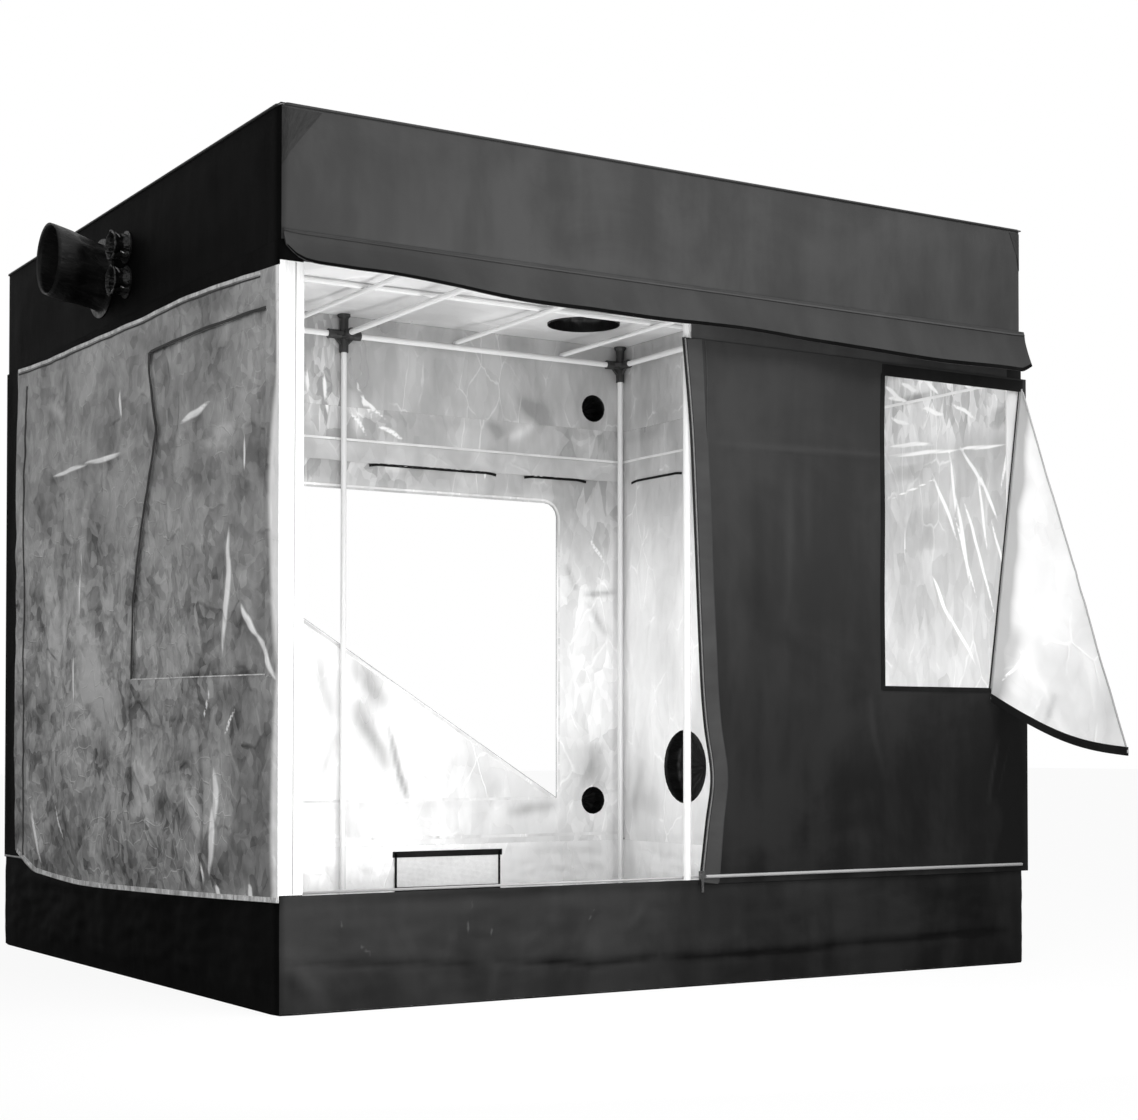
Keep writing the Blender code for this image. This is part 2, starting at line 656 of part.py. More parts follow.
def door_rows(bottom, top):
    """Heights of a door's grid rows, with the window's two edges among them."""
    below = [bottom + (WINDOW_BOTTOM - bottom) * step / ROWS_BELOW for step in range(ROWS_BELOW)]
    tall = WINDOW_TOP - WINDOW_BOTTOM
    beside = [WINDOW_BOTTOM + tall * step / ROWS_BESIDE for step in range(ROWS_BESIDE + 1)]
    return below + beside + [top]


def door_frame(angle_deg, hand):
    """A door's way along its cloth, at an angle from +X, and the way its lining faces. The left hand is 1."""
    angle = math.radians(angle_deg)
    along = Vector((math.cos(angle), math.sin(angle), 0))
    return along, UP.cross(along) * hand


LEFT_DOOR_BOTTOM = 0.245
LEFT_WINDOW_START = 0.045
LEFT_DOOR_SHORTFALL = 0.005
LEFT_DOOR_WIDTH = X_SIDE - LEFT_DOOR_SHORTFALL
LEFT_TOP_DROP_SHARES = ((0, 0.217), (0.3, 0.253), (0.5, 0.340), (0.8, 0.447), (1, 0.500))
LEFT_LIFT_SHARES = ((0, 0), (0.5, 0), (1, 0.170))
LEFT_COLUMN_SHARES = (0, 0.041, 0.11, 0.18, 0.25, 0.31, 0.38, 0.454)
LEFT_COLUMN_SHARES += (0.52, 0.59, 0.66, 0.73, 0.80, 0.87, 0.94, 1)
LEFT_WINDOW_COLUMNS = range(1, 7)
LEFT_FOLDS = 4.5
LEFT_FOLD_SLANT = 1.6
LEFT_FOLD_REACH_SHARE = 1.12


def left_top(share):
    """Height of the left door's top edge, which droops towards its free end."""
    return BAND_BOTTOM - along_curve(LEFT_TOP_DROP_SHARES, share) * BAND_DEPTH


def left_fold(along, up):
    """How far the left door's cloth stands out towards its lining side."""
    turn = math.pi * LEFT_FOLDS * along / LEFT_DOOR_WIDTH + LEFT_FOLD_SLANT * up / HEIGHT
    across = arch(along, 0, LEFT_DOOR_WIDTH * LEFT_FOLD_REACH_SHARE)
    return FOLD_DEPTH * math.sin(turn) ** 2 * across * arch(up, SILL_HEIGHT + OVERRUN, WINDOW_TOP)


def left_door():
    """The left door, swung right round and hanging beside the left wall, lining outwards."""
    along_way, lining_way = door_frame(LEFT_DOOR_OPEN_DEG, 1)
    columns = [share * LEFT_DOOR_WIDTH for share in LEFT_COLUMN_SHARES]
    columns[LEFT_WINDOW_COLUMNS.start], columns[LEFT_WINDOW_COLUMNS.stop] = LEFT_WINDOW_START, WINDOW_END
    rows = door_rows(LEFT_DOOR_BOTTOM, HEIGHT)

    def place(column, row):
        along = columns[column]
        share = along / LEFT_DOOR_WIDTH
        top = left_top(share)
        up = top if row == len(rows) - 1 else min(rows[row], top - OVERRUN)
        if row == 0:
            up = LEFT_DOOR_BOTTOM + along_curve(LEFT_LIFT_SHARES, share) * SILL_HEIGHT
        point = LEFT_AXIS + along_way * along + lining_way * left_fold(along, up) + UP * up
        return point, lining_way

    def present(column, row):
        return column not in LEFT_WINDOW_COLUMNS or row not in WINDOW_ROWS

    mesh = sheet_mesh("left_door", len(columns) - 1, len(rows) - 1, place, DOOR_CLOTH, present)
    made = add_object("left_door", mesh, SILVER_LINING)
    low = LEFT_AXIS + UP * LEFT_DOOR_BOTTOM
    high = LEFT_AXIS + UP * left_top(0)
    combine(made, [rod_mesh("bead", low, high, BEAD_RADIUS)], "UNION")
    put_origin(made, LEFT_AXIS)


FLAP_OVERLAP = 0.030


def left_window_flap():
    """The left door's window flap, zipped shut on the side that faces the wall."""
    along_way, lining_way = door_frame(LEFT_DOOR_OPEN_DEG, 1)
    start, end = LEFT_WINDOW_START, WINDOW_END + FLAP_OVERLAP
    low, high = WINDOW_BOTTOM - FLAP_OVERLAP, WINDOW_TOP + FLAP_OVERLAP
    axis = LEFT_AXIS + along_way * start - lining_way * FLAP_OUT
    steps = 6

    def place(column, row):
        along = (end - start) * column / steps
        up = low + (high - low) * row / steps
        return axis + along_way * along + UP * up, lining_way

    mesh = sheet_mesh("left_window_flap", steps, steps, place, CLOTH)
    made = add_object("left_window_flap", mesh, SILVER_LINING)
    combine(made, [rod_mesh("bead", axis + UP * low, axis + UP * high, FLAP_BEAD_RADIUS)], "UNION")
    put_origin(made, axis)


RIGHT_DOOR_BOTTOM = 0.250
RIGHT_DOOR_DROP = 0.110
RIGHT_DOOR_TOP = BAND_BOTTOM - RIGHT_DOOR_DROP
RIGHT_EDGE_SHARES = ((0.125, 0.991), (0.20, 0.973), (0.255, 0.959), (0.32, 0.977), (0.38, 0.987))
RIGHT_EDGE_SHARES += ((0.575, 1.004), (0.685, 1.0145), (0.795, 1.0345))
RIGHT_COLUMN_SHARES = (0.018, 0.10, 0.19, 0.28, 0.37, 0.452, 0.57, 0.645, 0.72, 0.795, 0.87, 0.945, 1)
FLAP_HEAD_INSET = 0.012
FLAP_FOOT_INSET = 0.128
FLAP_HEAD_RISE = 0.007
FLAP_FOOT_DROP = 0.030
FLAP_HEAD = Vector((X_SIDE - FLAP_HEAD_INSET, 0, WINDOW_TOP + FLAP_HEAD_RISE))
FLAP_FOOT = Vector((X_SIDE - FLAP_FOOT_INSET, 0, WINDOW_BOTTOM - FLAP_FOOT_DROP))
RIGHT_WINDOW_COLUMNS = range(1, 5)
RIGHT_PLAIN_COLUMN = RIGHT_WINDOW_COLUMNS.stop
RIGHT_FOLDS = 3
FLAP_LINE_MARGIN = 0.005


def flap_line_along(up):
    """How far from the right door's seam the window flap's fold line runs at a height."""
    share = (up - FLAP_FOOT.z) / (FLAP_HEAD.z - FLAP_FOOT.z)
    return HINGE_X - (FLAP_FOOT.x + (FLAP_HEAD.x - FLAP_FOOT.x) * min(max(share, 0), 1))


def right_door():
    """The right door, zipped shut, with its window and the part of the window's flap that is still zipped."""
    along_way, lining_way = door_frame(180, -1)
    rows = door_rows(RIGHT_DOOR_BOTTOM, RIGHT_DOOR_TOP)
    last = len(RIGHT_COLUMN_SHARES) - 1

    def place(column, row):
        up = rows[row]
        along = right_door_along(column, up)
        turn = math.pi * RIGHT_FOLDS * max(along - WINDOW_END, 0) / X_SIDE
        fold = FOLD_DEPTH * math.sin(turn) ** 2 * arch(up, RIGHT_DOOR_BOTTOM, RIGHT_DOOR_TOP)
        fold = 0 if column == last else fold
        return RIGHT_AXIS + along_way * along + lining_way * fold + UP * up, lining_way

    def present(column, row):
        return column not in RIGHT_WINDOW_COLUMNS or row not in WINDOW_ROWS

    mesh = sheet_mesh("right_door", last, len(rows) - 1, place, DOOR_CLOTH, present)
    made = add_object("right_door", mesh, COVER_CLOTH)
    low, high = RIGHT_AXIS + UP * RIGHT_DOOR_BOTTOM, RIGHT_AXIS + UP * RIGHT_DOOR_TOP
    strip_low = low - Vector((RIGHT_COLUMN_SHARES[0] * X_SIDE + GAP, DOOR_CLOTH / 2, 0))
    strip = box_mesh("seam_strip", strip_low, high + NORTH * DOOR_CLOTH / 2)
    combine(made, [strip, rod_mesh("bead", low, high, BEAD_RADIUS)], "UNION")
    put_origin(made, RIGHT_AXIS)


def right_door_along(column, up):
    """How far from its seam a grid column of the right door runs at a height."""
    if column == RIGHT_WINDOW_COLUMNS.start:
        return flap_line_along(up) + FLAP_LINE_MARGIN
    if column < RIGHT_PLAIN_COLUMN:
        return RIGHT_COLUMN_SHARES[column] * X_SIDE
    edge = along_curve(RIGHT_EDGE_SHARES, up / HEIGHT) * X_SIDE
    start_share = RIGHT_COLUMN_SHARES[RIGHT_PLAIN_COLUMN]
    share = (RIGHT_COLUMN_SHARES[column] - start_share) / (1 - start_share)
    return WINDOW_END + (edge - WINDOW_END) * share


FLAP_SWING_DEG = 100.0
FLAP_ALONG = 0.990
FLAP_REACH = 0.440
FLAP_BELLY = 0.020
FLAP_CELLS = 8
FLAP_TOP_SHARE = 0.15


def right_window_flap():
    """The window flap, half unzipped and standing out on its fold line as a three-cornered sail."""
    out = Vector((0, HINGE_Y - FLAP_OUT, 0))
    head, foot = FLAP_HEAD + out, FLAP_FOOT + out
    axis = (foot - head).normalized()
    shut_way = NORTH.cross(axis)
    swing = math.radians(FLAP_SWING_DEG)
    open_way = shut_way * math.cos(swing) - NORTH * math.sin(swing)
    normal = open_way.cross(axis)
    corner = head + axis * FLAP_ALONG + open_way * FLAP_REACH

    def place(column, row):
        fall = (row + FLAP_TOP_SHARE) / (FLAP_CELLS + FLAP_TOP_SHARE)
        near = head.lerp(foot, fall)
        far = head.lerp(corner, fall)
        share = column / FLAP_CELLS
        belly = FLAP_BELLY * math.sin(math.pi * share) * fall
        return near.lerp(far, share) + normal * belly, normal

    mesh = sheet_mesh("right_window_flap", FLAP_CELLS, FLAP_CELLS, place, CLOTH)
    made = add_object("right_window_flap", mesh, SILVER_LINING)
    combine(made, [rod_mesh("bead", head, foot, FLAP_BEAD_RADIUS)], "UNION")
    put_origin(made, head)


# The upper half of the rear opening's flap, unzipped and folded down outside along the diagonal
REAR_FLAP_OVERLAP = 0.018
REAR_FLAP_TIP = 0.020
REAR_FLAP_COLUMNS = 12
REAR_FLAP_ROWS = 5
REAR_FOLDS = 3
REAR_FOLD_DEPTH = 0.012


def down_to(height, start, end):
    """The place on a sloping edge at a height."""
    return start.lerp(end, (start.z - height) / (start.z - end.z))


def rear_flap():
    """The unzipped half of the rear flap, hanging outside below its fold line, with its tip tucked up."""
    hinge_y = Y_SIDE + FLAP_BEAD_RADIUS + GAP
    head = Vector((-REAR_OPENING_X, hinge_y, REAR_OPENING_TOP))
    foot = Vector((REAR_OPENING_X, hinge_y, REAR_OPENING_BOTTOM))
    axis = (foot - head).normalized()
    span = (foot - head).length
    shut_corner = Vector((REAR_OPENING_X + REAR_FLAP_OVERLAP, hinge_y, REAR_OPENING_TOP + REAR_FLAP_OVERLAP))
    along = (shut_corner - head).dot(axis)
    hung = 2 * (head + axis * along) - shut_corner
    left, right = (down_to(REAR_FLAP_TIP, start, hung) for start in (head, foot))

    def place(column, row):
        across, fall = column / REAR_FLAP_COLUMNS, row / REAR_FLAP_ROWS
        top = head + axis * (FLAP_BEAD_RADIUS + (span - 2 * FLAP_BEAD_RADIUS) * across)
        fold = REAR_FOLD_DEPTH * fall * math.sin(math.pi * REAR_FOLDS * across) ** 2
        return top.lerp(left.lerp(right, across), fall) + NORTH * fold, NORTH

    mesh = sheet_mesh("rear_flap", REAR_FLAP_COLUMNS, REAR_FLAP_ROWS, place, CLOTH)
    made = add_object("rear_flap", mesh, COVER_CLOTH)
    combine(made, [rod_mesh("bead", head, foot, FLAP_BEAD_RADIUS)], "UNION")
    put_origin(made, head)


SLIDER_SIZE = Vector((0.014, 0.008, 0.020))
PULL_SIZE = Vector((0.007, 0.0025, 0.042))
SLIDER_PLACE_SHARE = 0.987
SLIDER_BOTTOM = 0.262


def zip_slider():
    """The slider at the foot of the right door's free edge, with its pull hanging from it."""
    face = HINGE_Y - DOOR_CLOTH / 2 - GAP
    middle = HINGE_X - SLIDER_PLACE_SHARE * X_SIDE
    half = SLIDER_SIZE / 2
    low = Vector((middle - half.x, face - SLIDER_SIZE.y, SLIDER_BOTTOM))
    high = Vector((middle + half.x, face, SLIDER_BOTTOM + SLIDER_SIZE.z))
    made = add_object("door_zip_slider", box_mesh("door_zip_slider", low, high), ZIP_METAL)
    top = SLIDER_BOTTOM + half.z
    pull_low = Vector((middle - PULL_SIZE.x / 2, face - SLIDER_SIZE.y, top - PULL_SIZE.z))
    pull_high = Vector((middle + PULL_SIZE.x / 2, face - SLIDER_SIZE.y + PULL_SIZE.y, top))
    combine(made, [box_mesh("pull", pull_low, pull_high)], "UNION")
    put_origin(made, Vector((middle, face, top)))


frame_connectors()
frame_tubes()
hanging_bars()
ground_sheet_and_sill()
side_walls()
rear_wall()
rear_flap_zipped_half()
top_band()
front_valance()
roof()
sleeves()
roof_sleeve()
left_door()
left_window_flap()
right_door()
right_window_flap()
rear_flap()
zip_slider()
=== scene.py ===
"""Indoor grow tent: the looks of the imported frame, built up piece by piece in the order of its making."""
import math

import bmesh
import bpy
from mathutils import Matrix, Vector, noise


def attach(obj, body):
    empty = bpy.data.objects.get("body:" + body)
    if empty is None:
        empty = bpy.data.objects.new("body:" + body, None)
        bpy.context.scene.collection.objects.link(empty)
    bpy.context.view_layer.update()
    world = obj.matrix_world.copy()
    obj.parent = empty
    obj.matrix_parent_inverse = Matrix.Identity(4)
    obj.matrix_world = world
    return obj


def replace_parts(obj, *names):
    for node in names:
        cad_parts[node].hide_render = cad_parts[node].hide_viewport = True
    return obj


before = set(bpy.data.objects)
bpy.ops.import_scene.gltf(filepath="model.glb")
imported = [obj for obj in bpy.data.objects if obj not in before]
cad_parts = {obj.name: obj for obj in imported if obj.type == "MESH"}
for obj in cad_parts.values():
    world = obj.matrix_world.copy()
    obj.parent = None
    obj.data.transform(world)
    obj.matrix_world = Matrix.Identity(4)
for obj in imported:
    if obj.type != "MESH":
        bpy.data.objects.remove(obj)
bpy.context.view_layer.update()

# Studio: the camera of the photograph, soft lamps in front of the tent and one inside it, in even white air.
# The floor is pale and keeps a faint shadow, and what the camera sees behind the tent is plain white.
UP = Vector((0, 0, 1))
EAST = Vector((1, 0, 0))
NORTH = Vector((0, 1, 0))
camera = bpy.data.objects.new("camera", bpy.data.cameras.new("camera"))
camera.data.lens = 66.64
camera.data.sensor_width = 36
camera.data.shift_y = 0.1242
camera.location = (-2.972, -5.234, 0.585)
camera.rotation_euler = (math.radians(91.25), 0, math.radians(-31.70))
bpy.context.collection.objects.link(camera)
bpy.context.scene.camera = camera
bpy.context.scene.view_settings.view_transform = "Standard"


def soft_lamp(name, place, aim, wide, tall, watts):
    """A flat lamp turned towards a point, unseen by the camera itself."""
    lamp = bpy.data.objects.new(name, bpy.data.lights.new(name, "AREA"))
    lamp.data.shape = "RECTANGLE"
    lamp.data.size, lamp.data.size_y = wide, tall
    lamp.data.energy = watts
    lamp.location = place
    lamp.rotation_euler = (Vector(aim) - Vector(place)).to_track_quat("-Z", "Y").to_euler()
    lamp.visible_camera = False
    bpy.context.collection.objects.link(lamp)


soft_lamp("key_lamp", (0.9, -2.8, 3.7), (0.1, -1.0, 1.2), 2.2, 0.9, 80)
soft_lamp("tent_lamp", (0, 0, 0.10), (0, 0, 2.0), 1.25, 1.1, 27)
soft_lamp("doorway_lamp", (-0.8, -2.4, 0.85), (0.2, 1.0, 0.95), 0.9, 0.8, 29)
soft_lamp("front_lamp", (-1.9, -3.7, 0.9), (1.0, -1.1, 0.7), 1.2, 1.2, 18)


class Value:
    """One socket of a node tree. Sums and products on it add Math nodes."""

    def __init__(self, nodes, socket):
        self.nodes, self.socket = nodes, socket

    def math(self, operation, *others):
        inputs = dict(enumerate((self, *others)))
        return self.nodes.node("ShaderNodeMath", {"operation": operation}, inputs)

    def __add__(self, other):
        return self.math("ADD", other)

    def __mul__(self, other):
        return self.math("MULTIPLY", other)

    def __sub__(self, other):
        return self.math("SUBTRACT", other)

    def __rsub__(self, other):
        return (self * -1) + other

    def __abs__(self):
        return self.math("ABSOLUTE")

    def __lt__(self, other):
        return self.math("LESS_THAN", other)

    def __gt__(self, other):
        return self.math("GREATER_THAN", other)


class Nodes:
    """A node tree. A new node gets its settings first, and then its inputs."""

    def __init__(self, tree):
        self.tree = tree

    def put(self, socket, value):
        if isinstance(value, Value):
            self.tree.links.new(value.socket, socket)
        else:
            socket.default_value = value

    def node(self, kind, settings, inputs, output=0):
        made = self.tree.nodes.new(kind)
        for label, value in settings.items():
            setattr(made, label, value)
        for label, value in inputs.items():
            self.put(made.inputs[label], value)
        return Value(self, made.outputs[output])


class Finish(Nodes):
    """A material being made up from nodes, with plain values set on its shader."""

    def __init__(self, name, **values):
        self.material = bpy.data.materials.new(name)
        self.material.use_nodes = True
        super().__init__(self.material.node_tree)
        self.shader = self.tree.nodes["Principled BSDF"]
        for label, value in values.items():
            self.shader.inputs[label.replace("_", " ")].default_value = value

    def wear(self, label, value):
        self.put(self.shader.inputs[label], value)

    def shades(self, share, *ends):
        """What lies between a dark and a light end, each of them a grey or a socket."""
        low, high = ((end, end, end, 1) if isinstance(end, float) else end for end in ends)
        return self.node("ShaderNodeMix", {"data_type": "RGBA"}, {0: share, 6: low, 7: high}, 2)

    def marked(self, name):
        """A number that the cloth was marked with, or 0."""
        return self.node("ShaderNodeAttribute", {"attribute_name": name}, {}, "Fac")

    def crease_highlights(self, colour, pale):
        """Painted highlights: bright lines along the creases that the cloth was marked with."""
        return self.shades(self.ease(self.marked("crease_and_highlight"), 0.70, 0.88), colour, pale)

    def ease(self, value, low, high):
        """Map a stretch of values on to 0 to 1, with soft ends."""
        inputs = {"Value": value, "From Min": low, "From Max": high}
        return self.node("ShaderNodeMapRange", {"interpolation_type": "SMOOTHSTEP"}, inputs)

    def cloud(self, place, scale, detail=3.0, bend=0.0):
        """Soft noise from 0 to 1, over the cut cloth at a place or through a solid piece."""
        inputs = {"Scale": scale, "Detail": detail, "Roughness": 0.6, "Distortion": bend}
        if place is None:
            return self.node("ShaderNodeTexNoise", {}, inputs)
        return self.node("ShaderNodeTexNoise", {"noise_dimensions": "2D"}, inputs | {"Vector": place})

    def flat_place(self):
        """The place on the flat cloth, in metres, that a point was cut from."""
        return self.node("ShaderNodeUVMap", {"uv_map": "cut"}, {})

    def stretched(self, place, across, up):
        """A place on the piece, with the pattern drawn out one way."""
        return self.node("ShaderNodeMapping", {}, {"Vector": place, "Scale": (across, up, 1)})

    def parts(self, place):
        """The two numbers of a place on the cloth."""
        split = self.node("ShaderNodeSeparateXYZ", {}, {"Vector": place})
        return split, Value(self, split.socket.node.outputs[1])

    def bumps(self, height, strength, distance):
        inputs = {"Height": height, "Strength": strength, "Distance": distance}
        self.wear("Normal", self.node("ShaderNodeBump", {}, inputs))


AIR_LIGHT, FLOOR_WHITE = 0.44, 0.92
world = bpy.data.worlds.new("studio_air")
bpy.context.scene.world = world
world.use_nodes = True
air = Nodes(world.node_tree)
straight, through, mirrored = (air.node("ShaderNodeLightPath", {}, {}, "Is %s Ray" % kind)
                               for kind in ("Camera", "Transmission", "Glossy"))
seen = straight.math("MAXIMUM", through).math("MAXIMUM", mirrored)
backdrop = air.tree.nodes["Background"].inputs
air.put(backdrop["Strength"],
        air.node("ShaderNodeMapRange", {}, {"Value": seen, "To Min": AIR_LIGHT, "To Max": 1.0}))
air.put(backdrop["Color"], (1, 1, 1, 1))

bpy.ops.mesh.primitive_plane_add(size=80, location=(0, 0, -0.0005))
floor = bpy.context.object
floor.name = "studio_floor"
pale = Finish("pale_floor", Roughness=0.95)
glow = pale.node("ShaderNodeEmission", {}, {"Color": (1, 1, 1, 1), "Strength": 1.0})
ray_kind = pale.node("ShaderNodeLightPath", {}, {}, "Is Camera Ray")
lit = Value(pale, pale.shader.outputs[0])
pale.wear("Base Color", pale.shades(ray_kind, 0.42, 0.95))
pale.put(pale.tree.nodes["Material Output"].inputs["Surface"],
         pale.node("ShaderNodeMixShader", {}, {0: ray_kind * FLOOR_WHITE, 1: lit, 2: glow}))
floor.data.materials.append(pale.material)


# Frame tubes, beams and hanging bars: thin steel tube, powder coated white, cut square and pushed
# into the connectors. The coat is smooth and satin, a little duller where hands and clips rub it.
tube_paint = Finish("tube_paint", Coat_Weight=0.25, Coat_Roughness=0.2)
rubbed = tube_paint.cloud(None, 9)
tube_paint.wear("Base Color", tube_paint.shades(rubbed, 0.56, 0.78))
tube_paint.wear("Roughness", rubbed * 0.25 + 0.25)
tube_paint.bumps(tube_paint.cloud(None, 240), 0.15, 0.001)

# Connectors: moulded black plastic with webs between their sockets, grained in the mould and rubbed
# a little paler along their rims.
connector_plastic = Finish("connector_plastic")
dust = connector_plastic.cloud(None, 14, 4)
rims = connector_plastic.node("ShaderNodeNewGeometry", {}, {}, "Pointiness")
worn = dust * 0.6 + connector_plastic.ease(rims, 0.52, 0.60) * 0.4
connector_plastic.wear("Base Color", connector_plastic.shades(worn, 0.006, 0.03))
connector_plastic.wear("Roughness", dust * 0.25 + 0.42)
connector_plastic.bumps(connector_plastic.cloud(None, 420), 0.3, 0.0008)

for label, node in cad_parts.items():
    if "connector" in label:
        node.data.materials[0] = connector_plastic.material
    if any(word in label for word in ("upright", "rail", "beam", "hanging_bar")):
        node.data.materials[0] = tube_paint.material


# Ground sheet: tough cover cloth, dark below and silver above, laid flat and sewn to the sill all round.
# The two faces of the cover are worked out here, because this is the first piece that is cut from it.
CLOTH_THICK = 0.003
WEAVE = 5200


def cover_cloth(name, low, high, gloss=0.07, painted_light=None):
    """Woven dark cloth between two levels, with a fine weave, a soft mottle, painted highlights along its
    marked creases and painted light and shade on its marked folds. painted_light(across, up) gives painted
    light and shade, from 0 where it is painted shaded to 1 where it is painted lit."""
    cloth = Finish(name, Specular_IOR_Level=gloss)
    place = cloth.flat_place()
    mottle = cloth.cloud(place, 2.6, 5, 0.4)
    grubby = cloth.cloud(cloth.stretched(place, 9, 2.2), 1.0, 3)
    fibres = cloth.cloud(place, 900, 2)
    across, up = cloth.parts(place)
    warp, weft = ((way * WEAVE).math("SINE") for way in (across, up))
    share = cloth.ease(mottle * 0.6 + grubby * 0.4, 0.36, 0.66) * 0.85 + fibres * 0.15
    if painted_light:
        share = share * 0.35 + painted_light(cloth, across, up) * 0.65
    # The marked folds give painted light and shade here, and the marked creases give painted highlights.
    colour = cloth.shades(share + cloth.marked("fold_light_and_shade"), low, high)
    cloth.wear("Base Color", cloth.crease_highlights(colour, high * 1.5))
    cloth.wear("Roughness", mottle * 0.2 + 0.52)
    cloth.bumps(warp * weft * 0.10 + mottle * 8 + grubby * 3, 0.5, 0.0009)
    return cloth


def silver_lining(name, low, high, crease=(5, 2.4), fine=2.2, metal=0.25, painted_light=None, crushed=None):
    """Crumpled silver foil laminate: small facets of many greys between creases, painted as the reflection of
    each facet, and fine painted highlights along its cells' ridges and its marked creases.
    painted_light(foil, across, up) says where painted light makes it paler, from 0 to 1, and crushed(foil,
    across, up) where its facets are small and sharp."""
    foil = Finish(name, Metallic=metal, Specular_IOR_Level=0.5)
    place = foil.flat_place()
    drawn = foil.stretched(place, *crease)
    soft = foil.cloud(drawn, 1.0, 3)
    sway = foil.node("ShaderNodeTexNoise", {"noise_dimensions": "2D"},
                     {"Vector": drawn, "Scale": 1.7, "Detail": 3.0}, "Color")
    bent = foil.node("ShaderNodeVectorMath", {"operation": "MULTIPLY_ADD"},
                     {0: sway, 1: (0.3, 0.3, 0), 2: drawn})

    def cells(scale, output="Color", feature="F1", **inputs):
        """Crumpled cells, by their greys or by how near their edges are."""
        return foil.node("ShaderNodeTexVoronoi", {"voronoi_dimensions": "2D", "feature": feature},
                         {"Vector": bent, "Scale": fine * scale} | inputs, output)

    # The cells' greys are painted reflection, one grey for each facet, and the pale lines along their edges
    # are painted highlights.
    facets = cells(1, feature="SMOOTH_F1", Smoothness=0.3)
    chips = cells(2.7)
    ridges = cells(1.3, 0, "DISTANCE_TO_EDGE")
    ridge_lines_and_highlights = (1 - foil.ease(ridges, 0.0, 0.045)) * foil.ease(soft, 0.46, 0.62)
    share = foil.ease(soft, 0.32, 0.68) * 0.45 + facets * 0.33 + chips * 0.22
    across, up = foil.parts(place)
    if painted_light:
        share = share * 0.4 + painted_light(foil, across, up) * 0.6
    if crushed:
        share = share + (chips + cells(6.5) * 0.7 - 0.85) * crushed(foil, across, up)
    colour = foil.shades(share + foil.marked("fold_light_and_shade") + ridge_lines_and_highlights * 0.22, low, high)
    foil.wear("Base Color", foil.crease_highlights(colour, 0.95))
    foil.wear("Roughness", soft * 0.3 + facets * 0.15 + 0.15)
    foil.bumps(soft * 9 + facets * 2.4 + chips * 0.8 + ridge_lines_and_highlights * 0.6, 0.5, 0.0024)
    return foil


